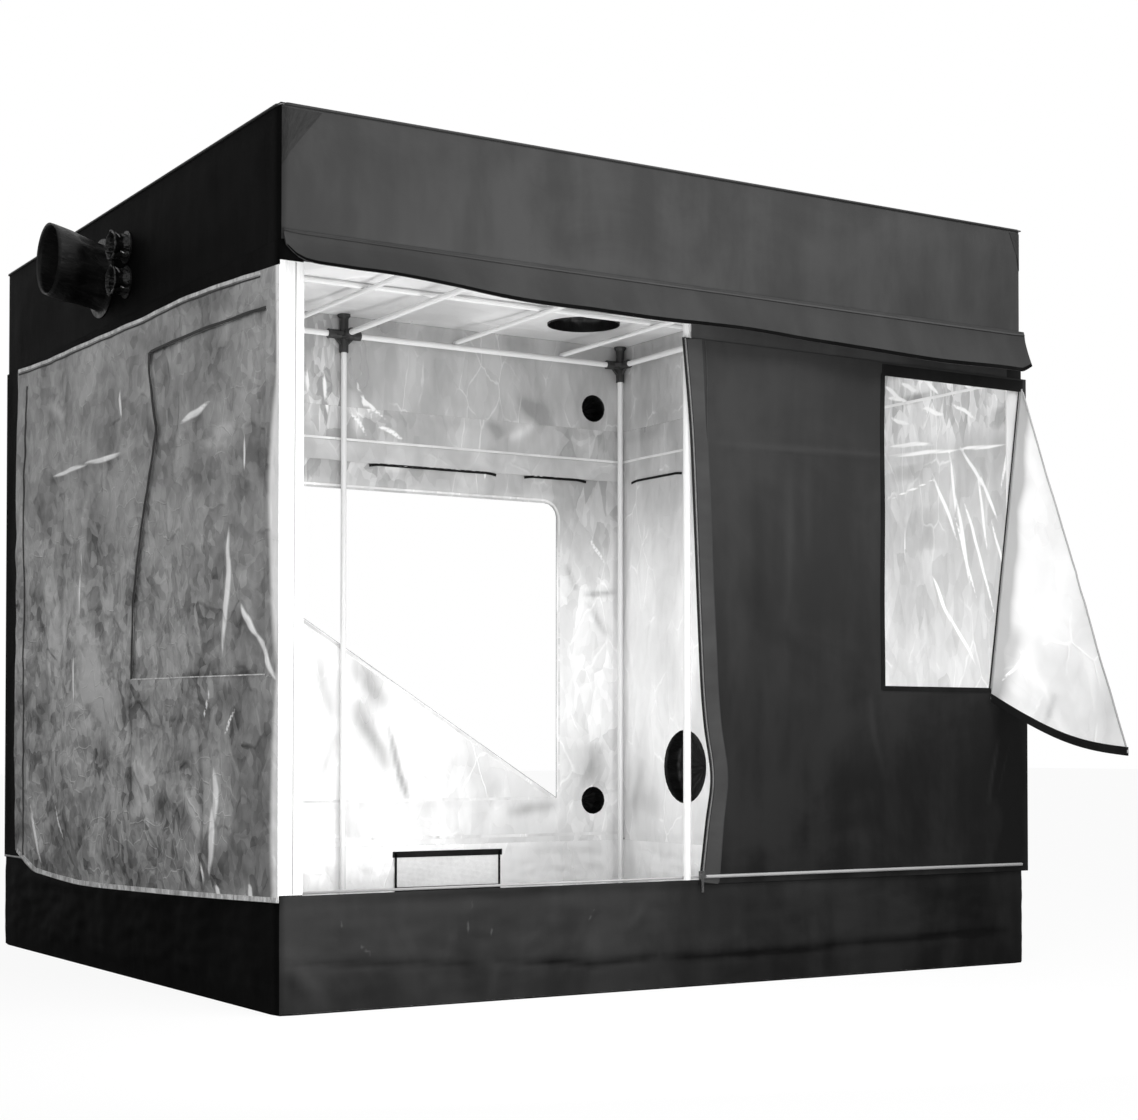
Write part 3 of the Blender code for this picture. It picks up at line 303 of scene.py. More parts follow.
class Cloth:
    """A cut of cloth lying flat, in metres: it is pierced, then hung in its place and thickened."""

    def __init__(self, name, low, high, cells):
        self.name, self.mesh = name, bmesh.new()
        bmesh.ops.create_grid(self.mesh, x_segments=cells[0], y_segments=cells[1], size=0.5)
        bmesh.ops.translate(self.mesh, verts=self.mesh.verts, vec=(0.5, 0.5, 0))
        size = (high[0] - low[0], high[1] - low[1], 1)
        bmesh.ops.scale(self.mesh, verts=self.mesh.verts, vec=size)
        bmesh.ops.translate(self.mesh, verts=self.mesh.verts, vec=(*low, 0))

    def pierce(self, outline, margin=0.03):
        """Cut out a hole whose outline turns one way, anticlockwise, given as flat points."""
        corners = [Vector((*point, 0)) for point in outline]
        low = Vector((min(c.x for c in corners) - margin, min(c.y for c in corners) - margin, 0))
        high = Vector((max(c.x for c in corners) + margin, max(c.y for c in corners) + margin, 0))
        sides = [(start, (end - start).cross(UP)) for start, end in zip(corners, corners[1:] + corners[:1])]

        def near():
            faces = [face for face in self.mesh.faces if low.x < face.calc_center_median().x < high.x]
            return [face for face in faces if low.y < face.calc_center_median().y < high.y]

        for start, out in sides:
            faces = near()
            parts = {part for face in faces for part in (*face.verts, *face.edges)}
            bmesh.ops.bisect_plane(self.mesh, geom=[*faces, *parts], dist=1e-5, plane_co=start, plane_no=out)
        hole = [face for face in near() if all((face.calc_center_median() - s).dot(o) < 0 for s, o in sides)]
        bmesh.ops.delete(self.mesh, geom=hole, context="FACES")

    def pierce_round(self, centre, radius, sides=20):
        turns = [math.tau * step / sides for step in range(sides)]
        self.pierce([(centre[0] + radius * math.cos(t), centre[1] + radius * math.sin(t)) for t in turns])

    def press(self, creases, tones=()):
        """Mark the flat cloth with sharp creases, for their painted highlights, and with soft folds, for the
        painted light and shade on them.
        """
        highlight_layer, fold_light_and_shade = (self.mesh.verts.layers.float.new(name) for name in ("crease_and_highlight", "fold_light_and_shade"))
        for vert in self.mesh.verts:
            vert[highlight_layer] = crease_and_highlight(vert.co.x, vert.co.y, creases)
            vert[fold_light_and_shade] = toned(vert.co.x, vert.co.y, tones)

    def hang(self, place, out=None, finish=None):
        """Carry each flat point to its place. The face that looks along out, which is one way or a way for
        each point, becomes the front."""
        uv = self.mesh.loops.layers.uv.new("cut")
        for face in self.mesh.faces:
            face.smooth = True
            face.material_index = finish(face.calc_center_median()) if finish else 0
            for corner in face.loops:
                corner[uv].uv = corner.vert.co.xy
        for vert in self.mesh.verts:
            vert.co = place(vert.co.x, vert.co.y)
        bmesh.ops.remove_doubles(self.mesh, verts=self.mesh.verts, dist=1e-5)
        bmesh.ops.recalc_face_normals(self.mesh, faces=self.mesh.faces)
        if out is not None:
            ways = (out(face.calc_center_median()) if callable(out) else out for face in self.mesh.faces)
            if sum(face.normal.dot(way) for face, way in zip(self.mesh.faces, ways)) < 0:
                bmesh.ops.reverse_faces(self.mesh, faces=self.mesh.faces)
        for edge in self.mesh.edges:
            edge.smooth = not edge.is_boundary

    def make(self, body, finishes, slot, replaced=(), thick=CLOTH_THICK):
        """Thicken the hung cloth, front finish first, and set it on its body."""
        data = bpy.data.meshes.new(self.name)
        self.mesh.to_mesh(data)
        self.mesh.free()
        piece = bpy.data.objects.new(self.name, data)
        bpy.context.collection.objects.link(piece)
        for finish in finishes:
            data.materials.append(finish.material)
        wall = piece.modifiers.new("thickness", "SOLIDIFY")
        wall.thickness, wall.offset = thick, 0
        wall.material_offset = min(len(finishes) - 1, 1)
        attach(piece, body)
        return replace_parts(piece, *replaced) if replaced else piece


def rumple(x, y, size, seed):
    """A soft rise and fall from -1 to 1."""
    return noise.noise((x / size, y / size, seed))


def fade(value, low, high):
    """0 below the low end, 1 above the high end, eased between them."""
    share = min(max((value - low) / (high - low), 0), 1)
    return share * share * (3 - 2 * share)


def beside(x, y, x0, y0, x1, y1):
    """How far a point lies to the side of a stroke, how near its middle, from 0 at its ends to 1, and how far
    along it."""
    run, rise = x1 - x0, y1 - y0
    length = math.hypot(run, rise)
    share = ((x - x0) * run + (y - y0) * rise) / length ** 2
    side = ((x - x0) * rise - (y - y0) * run) / length
    return side, math.sin(math.pi * min(max(share, 0), 1)), share


def crease_and_highlight(x, y, creases):
    """1 on a crease, falling evenly to its sides; it shapes the crease and places its painted highlight. A
    crease has two ends and the width of its painted highlight.
    """
    most = 0.0
    for x0, y0, x1, y1, width in creases:
        reach = 2.5 * max(width, 0.005)
        side, bow, share = beside(x, y, x0, y0, x1, y1)
        if bow > 0 and abs(side) < 2 * reach:
            side += reach * 0.35 * bow * noise.noise((x0 * 31, y0 * 17, share * 2.2))
            most = max(most, (1 - abs(side) / reach) * (0.62 + 0.38 * bow ** 0.6))
    return most


def toned(x, y, tones):
    """The sum of soft folds, for their shape and for the painted light and shade on them: each has two ends,
    a width and a strength, which is negative for a dark, painted-shade one.
    """
    total = 0.0
    for x0, y0, x1, y1, width, strength in tones:
        side, bow, share = beside(x, y, x0, y0, x1, y1)
        if bow > 0 and abs(side) < 3 * width:
            side += width * 0.6 * noise.noise((x * 9, y * 9, x0 * 31))
            total += strength * math.exp(-(side / width) ** 2) * bow ** 0.5
    return total


# The left side's cover cloth is painted blacker than the rest, as painted shade.
shaded_side_dark = cover_cloth("cover_side_shaded", 0.001, 0.005, 0.015)
bright_foil = silver_lining("lining_bright", 0.66, 0.92)
CORNER = 0.0185
HALF_X, HALF_Y = 1.0985, 0.9985


def ground_place(x, y):
    """The sheet lies on the floor, with low ripples inside and its corners rounded to the sill."""
    inner = Vector((max(abs(x) - HALF_X + CORNER, 0), max(abs(y) - HALF_Y + CORNER, 0)))
    if inner.x > 0 and inner.y > 0 and inner.length > 0:
        inner = inner * (max(inner) / inner.length)
    x = math.copysign(min(abs(x), HALF_X - CORNER) + inner.x, x)
    y = math.copysign(min(abs(y), HALF_Y - CORNER) + inner.y, y)
    middle = fade(1.0 - abs(x), 0, 0.1) * fade(0.9 - abs(y), 0, 0.1)
    return Vector((x, y, 0.0016 + 0.006 * middle * max(rumple(x, y, 0.22, 1), 0)))


ground = Cloth("ground_sheet_cloth", (-HALF_X, -HALF_Y), (HALF_X, HALF_Y), (60, 54))
ground.hang(ground_place, -UP)
ground = ground.make("tent", (shaded_side_dark, bright_foil), "cover_cloth", ["ground_sheet"])


# Sill ring: the low wall that stands round the ground sheet, one strip of cover cloth joined at the back,
# with two mesh vents let into it. It is creased from packing, most of all near the front left corner.
RING_LENGTH = 8.4
VENT_LOW, VENT_TOP, VENT_WIDE = 0.060, 0.235, 0.4


def around(distance):
    """A place on the tent's outline and its way out, from the middle of the back round by the left."""
    corners = ((-1, 1), (-1, -1), (1, -1), (1, 1), (-1, 1))
    starts = (1.1, 3.1, 5.3, 7.3, 9.5)
    ways = (-EAST, -NORTH, EAST, NORTH, -EAST)
    outs = (NORTH, -EAST, -NORTH, EAST, NORTH)
    for (east, north), start, way, out, next_out in zip(corners, starts, ways, outs, outs[1:] + outs[:1]):
        corner = Vector((east * HALF_X, north * HALF_Y, 0))
        if abs(distance - start) < CORNER:
            turn = (distance - start + CORNER) / CORNER * math.pi / 4
            normal = out * math.cos(turn) + next_out * math.sin(turn)
            return corner - (out + next_out) * CORNER + normal * CORNER, normal
        if distance < start:
            point = corner - way * (start - distance)
            point.x = min(max(point.x, -HALF_X), HALF_X)
            point.y = min(max(point.y, -HALF_Y), HALF_Y)
            return point, out
    return Vector((0, HALF_Y, 0)), NORTH


def off_corners(distance):
    """0 at a corner or a pole of the outline, rising to 1 away from it."""
    poles = (0, 1.1, 3.1, 4.2, 5.3, 7.3, 8.4)
    return fade(min(abs(distance - pole) for pole in poles), 0.03, 0.14)


def left_in_shade(flat):
    """2 for the left side of the tent, whose cloth is painted blacker as painted shade, and 0 elsewhere."""
    return 2 if 1.1 < flat.x < 3.1 else 0


# The sill's creases carry painted highlights, and its tones painted light and shade on its folds; both also
# shape it.
SILL_CREASES = [
    (3.59, 0.242, 3.567, 0.198, 0.006), (3.567, 0.2, 3.575, 0.135, 0.006), (3.64, 0.19, 3.626, 0.14, 0.005),
    (3.913, 0.207, 3.89, 0.165, 0.005), (3.24, 0.212, 3.26, 0.174, 0.006),
    (3.29, 0.154, 3.33, 0.115, 0.008)]
SILL_TONES = [
    (3.1, 0.15, 3.24, 0.0, 0.02, 0.25), (3.12, 0.1, 3.17, 0.03, 0.018, -0.25),
    (4.06, 0.211, 4.01, 0.146, 0.014, 0.25), (3.89, 0.17, 3.9, 0.08, 0.022, 0.22),
    (3.65, 0.09, 3.63, 0.0, 0.012, 0.22), (3.56, 0.2, 3.57, 0.02, 0.03, -0.15),
    (3.1, 0.115, 3.62, 0.088, 0.008, -0.35), (3.64, 0.095, 3.93, 0.07, 0.008, -0.4),
    (3.89, 0.066, 4.1, 0.082, 0.008, -0.45), (4.08, 0.08, 4.6, 0.07, 0.01, -0.4),
    (4.5, 0.078, 5.25, 0.092, 0.01, -0.35), (3.05, 0.25, 4.3, 0.25, 0.012, -0.25)]


def sill_place(distance, height):
    point, out = around(distance)
    press = fade(height, 0.004, 0.07) * fade(0.262 - height, 0.014, 0.05)
    lump = 0.004 + 0.006 * rumple(distance, height, 0.16, 5) + 0.004 * rumple(distance, height * 2.5, 0.07, 8)
    crease = 0.004 * crease_and_highlight(distance, height, SILL_CREASES) + 0.012 * toned(distance, height, SILL_TONES)
    stand = max(lump + crease, 0) * press * (0.3 + 0.7 * off_corners(distance))
    return point + out * stand + UP * height


sill = Cloth("sill_ring_cloth", (0, 0.0035), (RING_LENGTH, 0.260), (840, 26))
sill.press(SILL_CREASES, SILL_TONES)
for start in (0.2, 7.8):
    end = start + VENT_WIDE
    sill.pierce([(start, VENT_LOW), (end, VENT_LOW), (end, VENT_TOP), (start, VENT_TOP)])
sill.hang(sill_place, lambda point: Vector((point.x, point.y, 0)), left_in_shade)
# Painted light and shade on the sill: paler towards the front left, darker towards the right and darker low
# down.
sill_dark = cover_cloth("cover_sill", 0.002, 0.034, painted_light=lambda cloth, across, up: (
    (1 - cloth.ease(across, 3.0, 5.6)) * (cloth.ease(up, 0.060, 0.120) * 0.35 + 0.55)))
sill = sill.make("tent", (sill_dark, bright_foil, shaded_side_dark, bright_foil), "cover_cloth", ["sill_ring"])


# Vent meshes: fly screen of grey thread in the back of the sill, bound all round with black tape, which
# is a deep strip along the foot.
screen = Finish("vent_screen", Roughness=0.6)
warp, weft = ((way * 1500).math("SINE") > 0.55 for way in screen.parts(screen.flat_place()))
threads = warp.math("MAXIMUM", weft)
screen.wear("Base Color", screen.shades(screen.cloud(screen.flat_place(), 60), 0.72, 0.92))
screen.wear("Alpha", threads * 0.35 + 0.60)
screen.bumps(threads, 0.3, 0.0004)
black_tape = cover_cloth("black_tape", 0.006, 0.014)


def tape(name, body, line, width, place, finish, thick=0.0012, slot="cover_cloth", step=0.02):
    """A narrow strip sewn along a line of flat points. place(x, y) gives the point on the cloth under it."""
    points = [Vector(point) for point in line]
    lengths = [(end - start).length for start, end in zip(points, points[1:])]
    total = sum(lengths)

    def along(distance, side):
        for start, end, length in zip(points, points[1:], lengths):
            if distance <= length + 1e-6:
                way = (end - start) / length
                return place(*(start + way * distance + Vector((way.y, -way.x)) * side))
            distance -= length
        return place(*points[-1])

    strip = Cloth(name, (0, -width / 2), (total, width / 2), (max(round(total / step), 1), 2))
    strip.hang(along)
    return strip.make(body, (finish,), slot, (), thick)


BINDING_Y, SEAM_GAP = 0.9960, 0.0003
for side, low, high in (("left", -0.5997, -0.2003), ("right", 0.2003, 0.5997)):
    mesh = Cloth("vent_mesh_" + side, (low, VENT_LOW + SEAM_GAP), (high, VENT_TOP - SEAM_GAP), (10, 4))
    mesh.hang(lambda x, z: Vector((x, HALF_Y, z)), NORTH)
    mesh = mesh.make("tent", (screen,), "vent_mesh", ["rear_vent_mesh_" + side], 0.001)
    bound = (([(low, 0.091), (high, 0.091)], 0.062),
             ([(low + 0.003, VENT_LOW), (low + 0.003, VENT_TOP)], 0.008),
             ([(high - 0.003, VENT_LOW), (high - 0.003, VENT_TOP)], 0.008),
             ([(low - 0.008, 0.230), (high + 0.008, 0.230)], 0.020))
    for number, (line, width) in enumerate(bound, 1):
        tape("vent_binding_%s_%d" % (side, number), "tent", line, width,
             lambda x, z: Vector((x, BINDING_Y, z)), black_tape)


# Side walls: cover cloth outside and silver lining inside, sewn to the sill below and to the top band
# above, and turned round the front corner poles with a narrow strip that carries the door zips.
RETURN = 0.055
WALL_LOW, WALL_HIGH = 0.2603, 1.6997
WALL_RUN = RETURN + 2 * HALF_Y
PORT_Y, PORT_Z = 0.610, 0.520


def wall_painted_light(foil, across, up):
    """Painted light on the walls' lining: paler low down and towards the back, and a paler painted streak
    high up in front.
    """
    low_down = (1 - foil.ease(up, 1.1, 1.7)) * (foil.ease(up, 0.3, 0.95) * 0.3 + 0.7)
    streak = (1 - foil.ease(across, 0.5, 0.9)) * foil.ease(up, 1.42, 1.50) * (1 - foil.ease(up, 1.66, 1.68))
    return low_down * (foil.ease(across, 0.5, 1.2) * 0.62 + 0.38) + streak * 0.45


def wall_crushed(foil, across, up):
    """Its facets are small and sharp in front, most of all below the top seam."""
    return (1 - foil.ease(across, 0.5, 0.9)) * (foil.ease(up, 1.44, 1.52) * 0.5 + 0.15)


grey_foil = silver_lining("lining_walls", 0.34, 0.95, (6, 2.4), 1.8, painted_light=wall_painted_light, crushed=wall_crushed)
wall_dark = cover_cloth("cover_wall", 0.008, 0.030)


def gathers(x, z, seam, reach, pitch, seed):
    """Short upright puckers that die away from a seam."""
    return math.exp(-abs(z - seam) / reach) * rumple(x, z * 0.25, pitch, seed)


# The right wall's creases carry painted highlights, and its tones painted light and shade on its folds.
RIGHT_WALL_CREASES = [
    (0.62, 1.475, 0.38, 1.455, 0.011), (0.64, 1.445, 0.26, 1.425, 0.011), (0.33, 1.43, 0.1, 1.42, 0.01),
    (0.42, 1.39, 0.3, 1.15, 0.011), (0.345, 1.44, 0.31, 1.22, 0.01), (0.32, 1.32, 0.25, 1.02, 0.013),
    (0.31, 1.45, 0.17, 1.28, 0.01), (0.22, 1.36, 0.14, 1.2, 0.01), (0.23, 1.38, 0.18, 1.1, 0.009),
    (0.29, 1.3, 0.19, 1.06, 0.01), (0.14, 1.28, 0.09, 1.47, 0.01), (0.42, 1.09, 0.33, 0.93, 0.012),
    (0.37, 1.0, 0.22, 0.8, 0.01), (0.53, 1.24, 0.54, 1.08, 0.006), (0.62, 1.31, 0.38, 1.36, 0.007),
    (0.26, 1.25, 0.15, 0.92, 0.008), (0.33, 1.26, 0.22, 0.98, 0.008), (0.18, 1.24, 0.1, 1.02, 0.008),
    (0.6, 1.56, 0.5, 1.52, 0.011), (0.47, 1.57, 0.35, 1.53, 0.012), (0.34, 1.57, 0.22, 1.5, 0.01),
    (0.63, 1.66, 0.54, 1.6, 0.012), (0.56, 1.66, 0.46, 1.615, 0.012), (0.62, 1.625, 0.5, 1.585, 0.011),
    (0.46, 1.66, 0.38, 1.59, 0.011), (0.4, 1.65, 0.3, 1.61, 0.011), (0.32, 1.64, 0.23, 1.585, 0.01)]
RIGHT_WALL_TONES = [
    (0.52, 1.41, 0.52, 1.36, 0.05, -0.3), (0.42, 1.28, 0.42, 1.15, 0.05, -0.25),
    (0.13, 1.53, 0.12, 1.47, 0.03, -0.4), (0.55, 1.6, 0.41, 1.6, 0.01, -0.7),
    (1.55, 0.9, 1.6, 0.45, 0.05, -0.2), (1.8, 1.2, 1.75, 0.7, 0.06, -0.2),
    (1.92, 0.55, 2.0, 0.3, 0.03, -0.3), (1.4, 1.4, 1.45, 1.1, 0.04, -0.25)]


def side_wall_place(east):
    """The wall from its front strip, round the corner pole, to the back corner."""
    bend = 0.006

    def place(run, height):
        if run < RETURN - bend:
            return Vector((east * (HALF_X - RETURN + run), -HALF_Y, height))
        if run < RETURN + bend:
            turn = (run - RETURN + bend) / (2 * bend) * math.pi / 2
            x = HALF_X - bend + bend * math.sin(turn)
            return Vector((east * x, -HALF_Y + bend - bend * math.cos(turn), height))
        y = -HALF_Y + run - RETURN
        free = fade(y + HALF_Y, 0.03, 0.2) * fade(HALF_Y - y, 0.0, 0.06)
        free *= fade(height, 0.262, 0.30) * fade(1.70 - height, 0, 0.05)
        dent = 0.0042 + 0.0040 * rumple(y, height, 0.30, 11 + east)
        dent += 0.0022 * rumple(y * 2.2, height, 0.16, 14)
        dent += 0.0030 * (gathers(y, height, 1.55, 0.10, 0.05, 3) + gathers(y, height, 0.27, 0.06, 0.04, 4))
        port = fade(math.hypot(y - PORT_Y, height - PORT_Z), 0.15, 0.24) if east > 0 else 1
        return Vector((east * (HALF_X - min(max(dent, 0), 0.0085) * free * port), y, height))

    return place


def shape(cloth, bend):
    """Cut the flat cloth to its real outline."""
    for vert in cloth.mesh.verts:
        vert.co.x, vert.co.y = bend(vert.co.x, vert.co.y)


for side, east in (("left", -1), ("right", 1)):
    name = side + "_wall"
    cells = (96, 64) if east < 0 else (236, 170)
    wall = Cloth(name + "_cloth", (0, WALL_LOW), (WALL_RUN, WALL_HIGH), cells)
    if east > 0:
        shape(wall, lambda run, up: (run * (0.66 + 0.34 * run / WALL_RUN), up))
        wall.press(RIGHT_WALL_CREASES, RIGHT_WALL_TONES)
        wall.pierce_round((RETURN + HALF_Y + PORT_Y, PORT_Z), 0.1245, 28)
    wall.hang(side_wall_place(east), lambda point: Vector((point.x, min(point.y + 0.97, 0) * 40, 0)),
              lambda flat: 2 if east > 0 and flat.x < RETURN - 0.008 and flat.y < 1.575 else 0)
    # The left wall's outside gets the blacker cloth, as painted shade.
    outside = shaded_side_dark if east < 0 else wall_dark
    wall = wall.make("tent", (outside, grey_foil, bright_foil, grey_foil), "cover_cloth", [name])


# Rear wall: as the side walls, with a large window let in. The window is filled by a panel cut in two
# along a slant: its lower half is zipped shut here, and its upper half hangs outside as the flap.
OPEN_X, OPEN_LOW, OPEN_HIGH, OPEN_ROUND = 0.825, 0.410, 1.430, 0.048
OPENING = [(-OPEN_X, OPEN_HIGH), (-OPEN_X, OPEN_LOW), (OPEN_X, OPEN_LOW), (OPEN_X, 1.382)]
OPENING += [(0.777 + OPEN_ROUND * math.cos(math.radians(a)), 1.382 + OPEN_ROUND * math.sin(math.radians(a)))
            for a in (22, 45, 68, 90)]
SLANT = Vector((1.65, -1.02)).normalized()
REAR_PORT, PORT_RADIUS = (0.975, 0.400), 0.0475


def past_slant(x, z):
    """How far a point of the rear wall lies below the slanted fold."""
    from_head = Vector((x + OPEN_X, z - OPEN_HIGH))
    return from_head.x * SLANT.y - from_head.y * SLANT.x


def rear_place(x, z):
    below = past_slant(x, z)
    free = (fade(abs(x), 0, 0.02) * fade(1.09 - abs(x), 0, 0.04)
            * fade(z, 0.262, 0.29) * fade(1.70 - z, 0, 0.04))
    free *= fade(math.hypot(x - REAR_PORT[0], z - REAR_PORT[1]), 0.06, 0.12)
    dent = 0.0035 + 0.0035 * rumple(x, z, 0.26, 21) + 0.0020 * rumple(x * 1.6, z, 0.12, 22)
    dent += 0.0040 * gathers(x, z, 1.52, 0.09, 0.045, 5) + 0.0030 * gathers(x, z, 0.27, 0.05, 0.04, 6)
    hem = min(x + OPEN_X, z - OPEN_LOW)
    inside = below > -0.001 and hem > 0.0001
    if inside:
        ray = math.atan2(z - 0.55, x + 0.35)
        dent += 0.0045 * math.sin(9 * ray + 2.0 * rumple(x, z, 0.3, 9)) * math.exp(-below / 0.28)
    edge = fade(max(below, 0), 0.0, 0.04) if inside else 1
    edge *= fade(hem if inside else max(abs(x) - OPEN_X, OPEN_LOW - z, z - OPEN_HIGH), 0, 0.03)
    return Vector((x, HALF_Y - min(max(dent, 0), 0.0088) * free * edge, z))


# The rear wall's creases carry painted highlights, and its tones painted light and shade on its folds.
REAR_CREASES = [
    (-0.07, 1.84, -0.04, 1.64, 0.014), (0.04, 1.81, 0.12, 1.65, 0.012), (0.12, 1.65, 0.24, 1.6, 0.014),
    (-0.14, 1.86, -0.11, 1.7, 0.012), (0.02, 1.7, 0.1, 1.6, 0.012), (0.07, 1.74, 0.17, 1.66, 0.01),
    (0.2, 1.585, 0.62, 1.573, 0.012), (0.52, 1.56, 0.54, 1.49, 0.01), (-0.22, 1.8, -0.18, 1.66, 0.01),
    (0.1, 0.7, 0.26, 0.675, 0.012), (0.95, 1.33, 1.03, 1.22, 0.012), (-0.3, 1.5, -0.3, 1.44, 0.01)]
REAR_TONES = [
    (-0.24, 1.88, -0.22, 1.62, 0.03, 0.4), (-0.12, 1.88, -0.12, 1.62, 0.02, 0.4),
    (0.03, 1.76, 0.06, 1.6, 0.02, 0.4), (0.19, 1.6, 0.19, 1.5, 0.05, 0.6),
    (0.66, 1.76, 0.8, 1.73, 0.03, -0.4), (0.55, 1.7, 0.6, 1.64, 0.02, -0.35),
    (0.63, 1.64, 0.75, 1.71, 0.02, 0.35), (-0.16, 0.92, -0.15, 0.8, 0.02, -0.5),
    (-0.08, 0.9, -0.04, 0.67, 0.03, -0.5), (0.02, 0.86, 0.18, 0.73, 0.04, -0.6),
    (0.05, 0.74, 0.17, 0.5, 0.03, -0.7), (0.17, 0.67, 0.25, 0.4, 0.01, -0.8),
    (-0.07, 0.48, -0.02, 0.63, 0.02, -0.5), (0.38, 0.58, 0.6, 0.42, 0.09, -0.35),
    (0.62, 0.36, 0.84, 0.39, 0.02, -0.4), (0.97, 0.6, 0.98, 0.44, 0.06, -0.5),
    (0.93, 1.12, 1.07, 1.13, 0.01, -0.6), (0.95, 1.1, 1.03, 0.98, 0.012, -0.5),
    (0.86, 1.22, 0.9, 1.13, 0.012, -0.5), (-0.6, 0.95, -0.45, 0.6, 0.03, -0.3)]
# Painted light on the rear lining: darker high up, and a little darker at the foot.
rear_foil = silver_lining(
    "lining_rear", 0.36, 0.97, (5, 2.4), 1.6,
    painted_light=lambda foil, across, up: (1 - foil.ease(up, 1.0, 1.56)) * (foil.ease(up, 0.3, 0.8) * 0.3 + 0.7),
    crushed=lambda foil, across, up: ((1 - foil.ease(across, 0.1, 0.4)) * foil.ease(up, 1.40, 1.50) * 0.45
                                      + foil.ease(across, 0.78, 0.90) * 0.25 + 0.05))
rear = Cloth("rear_wall_cloth", (-1.0962, WALL_LOW), (1.0962, WALL_HIGH), (220, 146))
rear.press(REAR_CREASES, REAR_TONES)
rear.pierce(OPENING)
rear.pierce_round(REAR_PORT, PORT_RADIUS)
rear.hang(rear_place, NORTH)
rear = rear.make("tent", (wall_dark, rear_foil), "cover_cloth", ["rear_wall"])
half_x, half_low, half_high = OPEN_X - SEAM_GAP, OPEN_LOW + SEAM_GAP, OPEN_HIGH - SEAM_GAP
half = Cloth("rear_window_lower_half", (-half_x, half_low), (half_x, half_high), (132, 82))
half.press(REAR_CREASES, REAR_TONES)
half.pierce([(-half_x, half_high), (half_x, half_low), (0.9, half_low), (0.9, 1.6), (-half_x, 1.6)])
half.hang(rear_place, NORTH)
half = half.make("tent", (wall_dark, rear_foil), "cover_cloth", ["rear_flap_zipped_half"])


# Rear seams: a flat fold of lining sewn across the wall at its top, loose along its lower edge, with short
# dark stretches of black tape just below that edge, and pale binding along the opening.
SEW = 0.0006
SEAM_X, SEAM_Z, FOLD_DEEP = 1.09, 1.592, 0.066


def inside_rear(lift):
    return lambda x, z: rear_place(x, z) - NORTH * (CLOTH_THICK / 2 + lift)


def dark_stretch_line(start, end, low=1.512):
    """A short dark stretch that shows below the fold of lining."""
    return [(start, low), (start + 0.03, 1.517), (end - 0.03, 1.517), (end, 1.512)]


tape("rear_seam_upper", "tent", [(-SEAM_X, SEAM_Z), (SEAM_X, SEAM_Z)], 0.008, inside_rear(SEW), bright_foil)
bare_stretches = ((-1.05, -0.84), (-0.74, -0.46), (-0.37, -0.30), (0.10, 0.58), (0.69, 0.94))
for number, ends in enumerate(bare_stretches, 1):
    tape("rear_dark_line_%d" % number, "tent", dark_stretch_line(*ends), 0.009, inside_rear(0.0050), black_tape)


def fold_place(x, t):
    """t runs from the fold's loose lower edge up to its seam."""
    loose = 1 - t / FOLD_DEEP
    drop = (FOLD_DEEP + 0.008 * rumple(x, 0, 0.16, 33)) * loose
    return inside_rear(0.0015 + 0.0035 * loose)(x, 1.586 - drop)


fold = Cloth("rear_seam_fold", (-SEAM_X, 0), (SEAM_X, FOLD_DEEP), (150, 4))
fold.hang(fold_place, -NORTH)
fold_foil = silver_lining("lining_fold", 0.42, 0.66, (5, 4), 1.2)
fold = fold.make("tent", (fold_foil,), "silver_lining", (), 0.0012)
bound_edge = [(-0.80, 1.440), (0.775, 1.440), (0.81, 1.43), (0.832, 1.40), (0.835, 1.370), (0.835, 0.43)]
rear_trims = (
    ("rear_seam_lower", [(-SEAM_X, 0.284), (SEAM_X, 0.284)], 0.010, grey_foil),
    ("rear_opening_binding", bound_edge, 0.007, rear_foil),
    ("rear_half_fold", [(-0.80, 1.405), (0.80, 0.416)], 0.010, grey_foil),
    ("rear_half_zip_side", [(-OPEN_X, 1.40), (-OPEN_X, OPEN_LOW)], 0.009, grey_foil),
    ("rear_half_zip_foot", [(-OPEN_X, OPEN_LOW), (0.79, OPEN_LOW)], 0.009, grey_foil))
for name, line, width, finish in rear_trims:
    tape(name, "tent", line, width, inside_rear(SEW), finish)


# Right wall's seam: the pale seam goes on round the corner inside the tent, sewn through both cloths, and
# short dark stretches show below it.
def inside_right(lift):
    wall_place = side_wall_place(1)
    return lambda y, z: wall_place(y + HALF_Y + RETURN, z) - EAST * (CLOTH_THICK / 2 + lift)


tape("right_seam_upper", "tent", [(-0.9, SEAM_Z), (0.99, SEAM_Z)], 0.008, inside_right(SEW), bright_foil)
for number, ends in enumerate(((-0.28, -0.02), (0.25, 0.48), (0.62, 0.93)), 1):
    tape("right_dark_line_%d" % number, "tent", dark_stretch_line(*ends, low=1.513), 0.008,
         inside_right(0.0012), black_tape)


# Top band: the deep band under the roof, one strip of cover cloth joined round the tent. In front it
# goes on down as a header behind the valance, and its side and back are pierced for the sleeves.
BAND_LOW, BAND_TOP = 1.700, 1.9967
FRONT_START, FRONT_MIDDLE, FRONT_END = 3.1 + 0.0553, 4.2, 5.3 - 0.0553
PAST_END = 0.02
DUCT_RUN, CABLE_RUN, REAR_RUN = 1.94, 2.13, 7.425


def band_place(distance, height):
    point, out = around(distance)
    swell = 0.0035 + 0.0040 * rumple(distance, height, 0.33, 41)
    swell += 0.0015 * rumple(distance * 2, height * 2, 0.16, 42)
    swell = max(swell, 0) * fade(height, 1.73, 1.80) * fade(1.985 - height, 0, 0.06)
    side = fade(min(abs(distance - DUCT_RUN), abs(distance - CABLE_RUN)), 0.12, 0.2)
    back = fade(abs(distance - REAR_RUN), 0.07, 0.12)
    return point + out * swell * off_corners(distance) * side * back + UP * height


def up_the_back(strokes):
    """The rear wall's creases go on up the band, which runs the other way and is joined at their middle."""
    return [(turn - x0, z0, turn - x1, z1, *rest)
            for turn in (0, RING_LENGTH) for x0, z0, x1, z1, *rest in strokes]


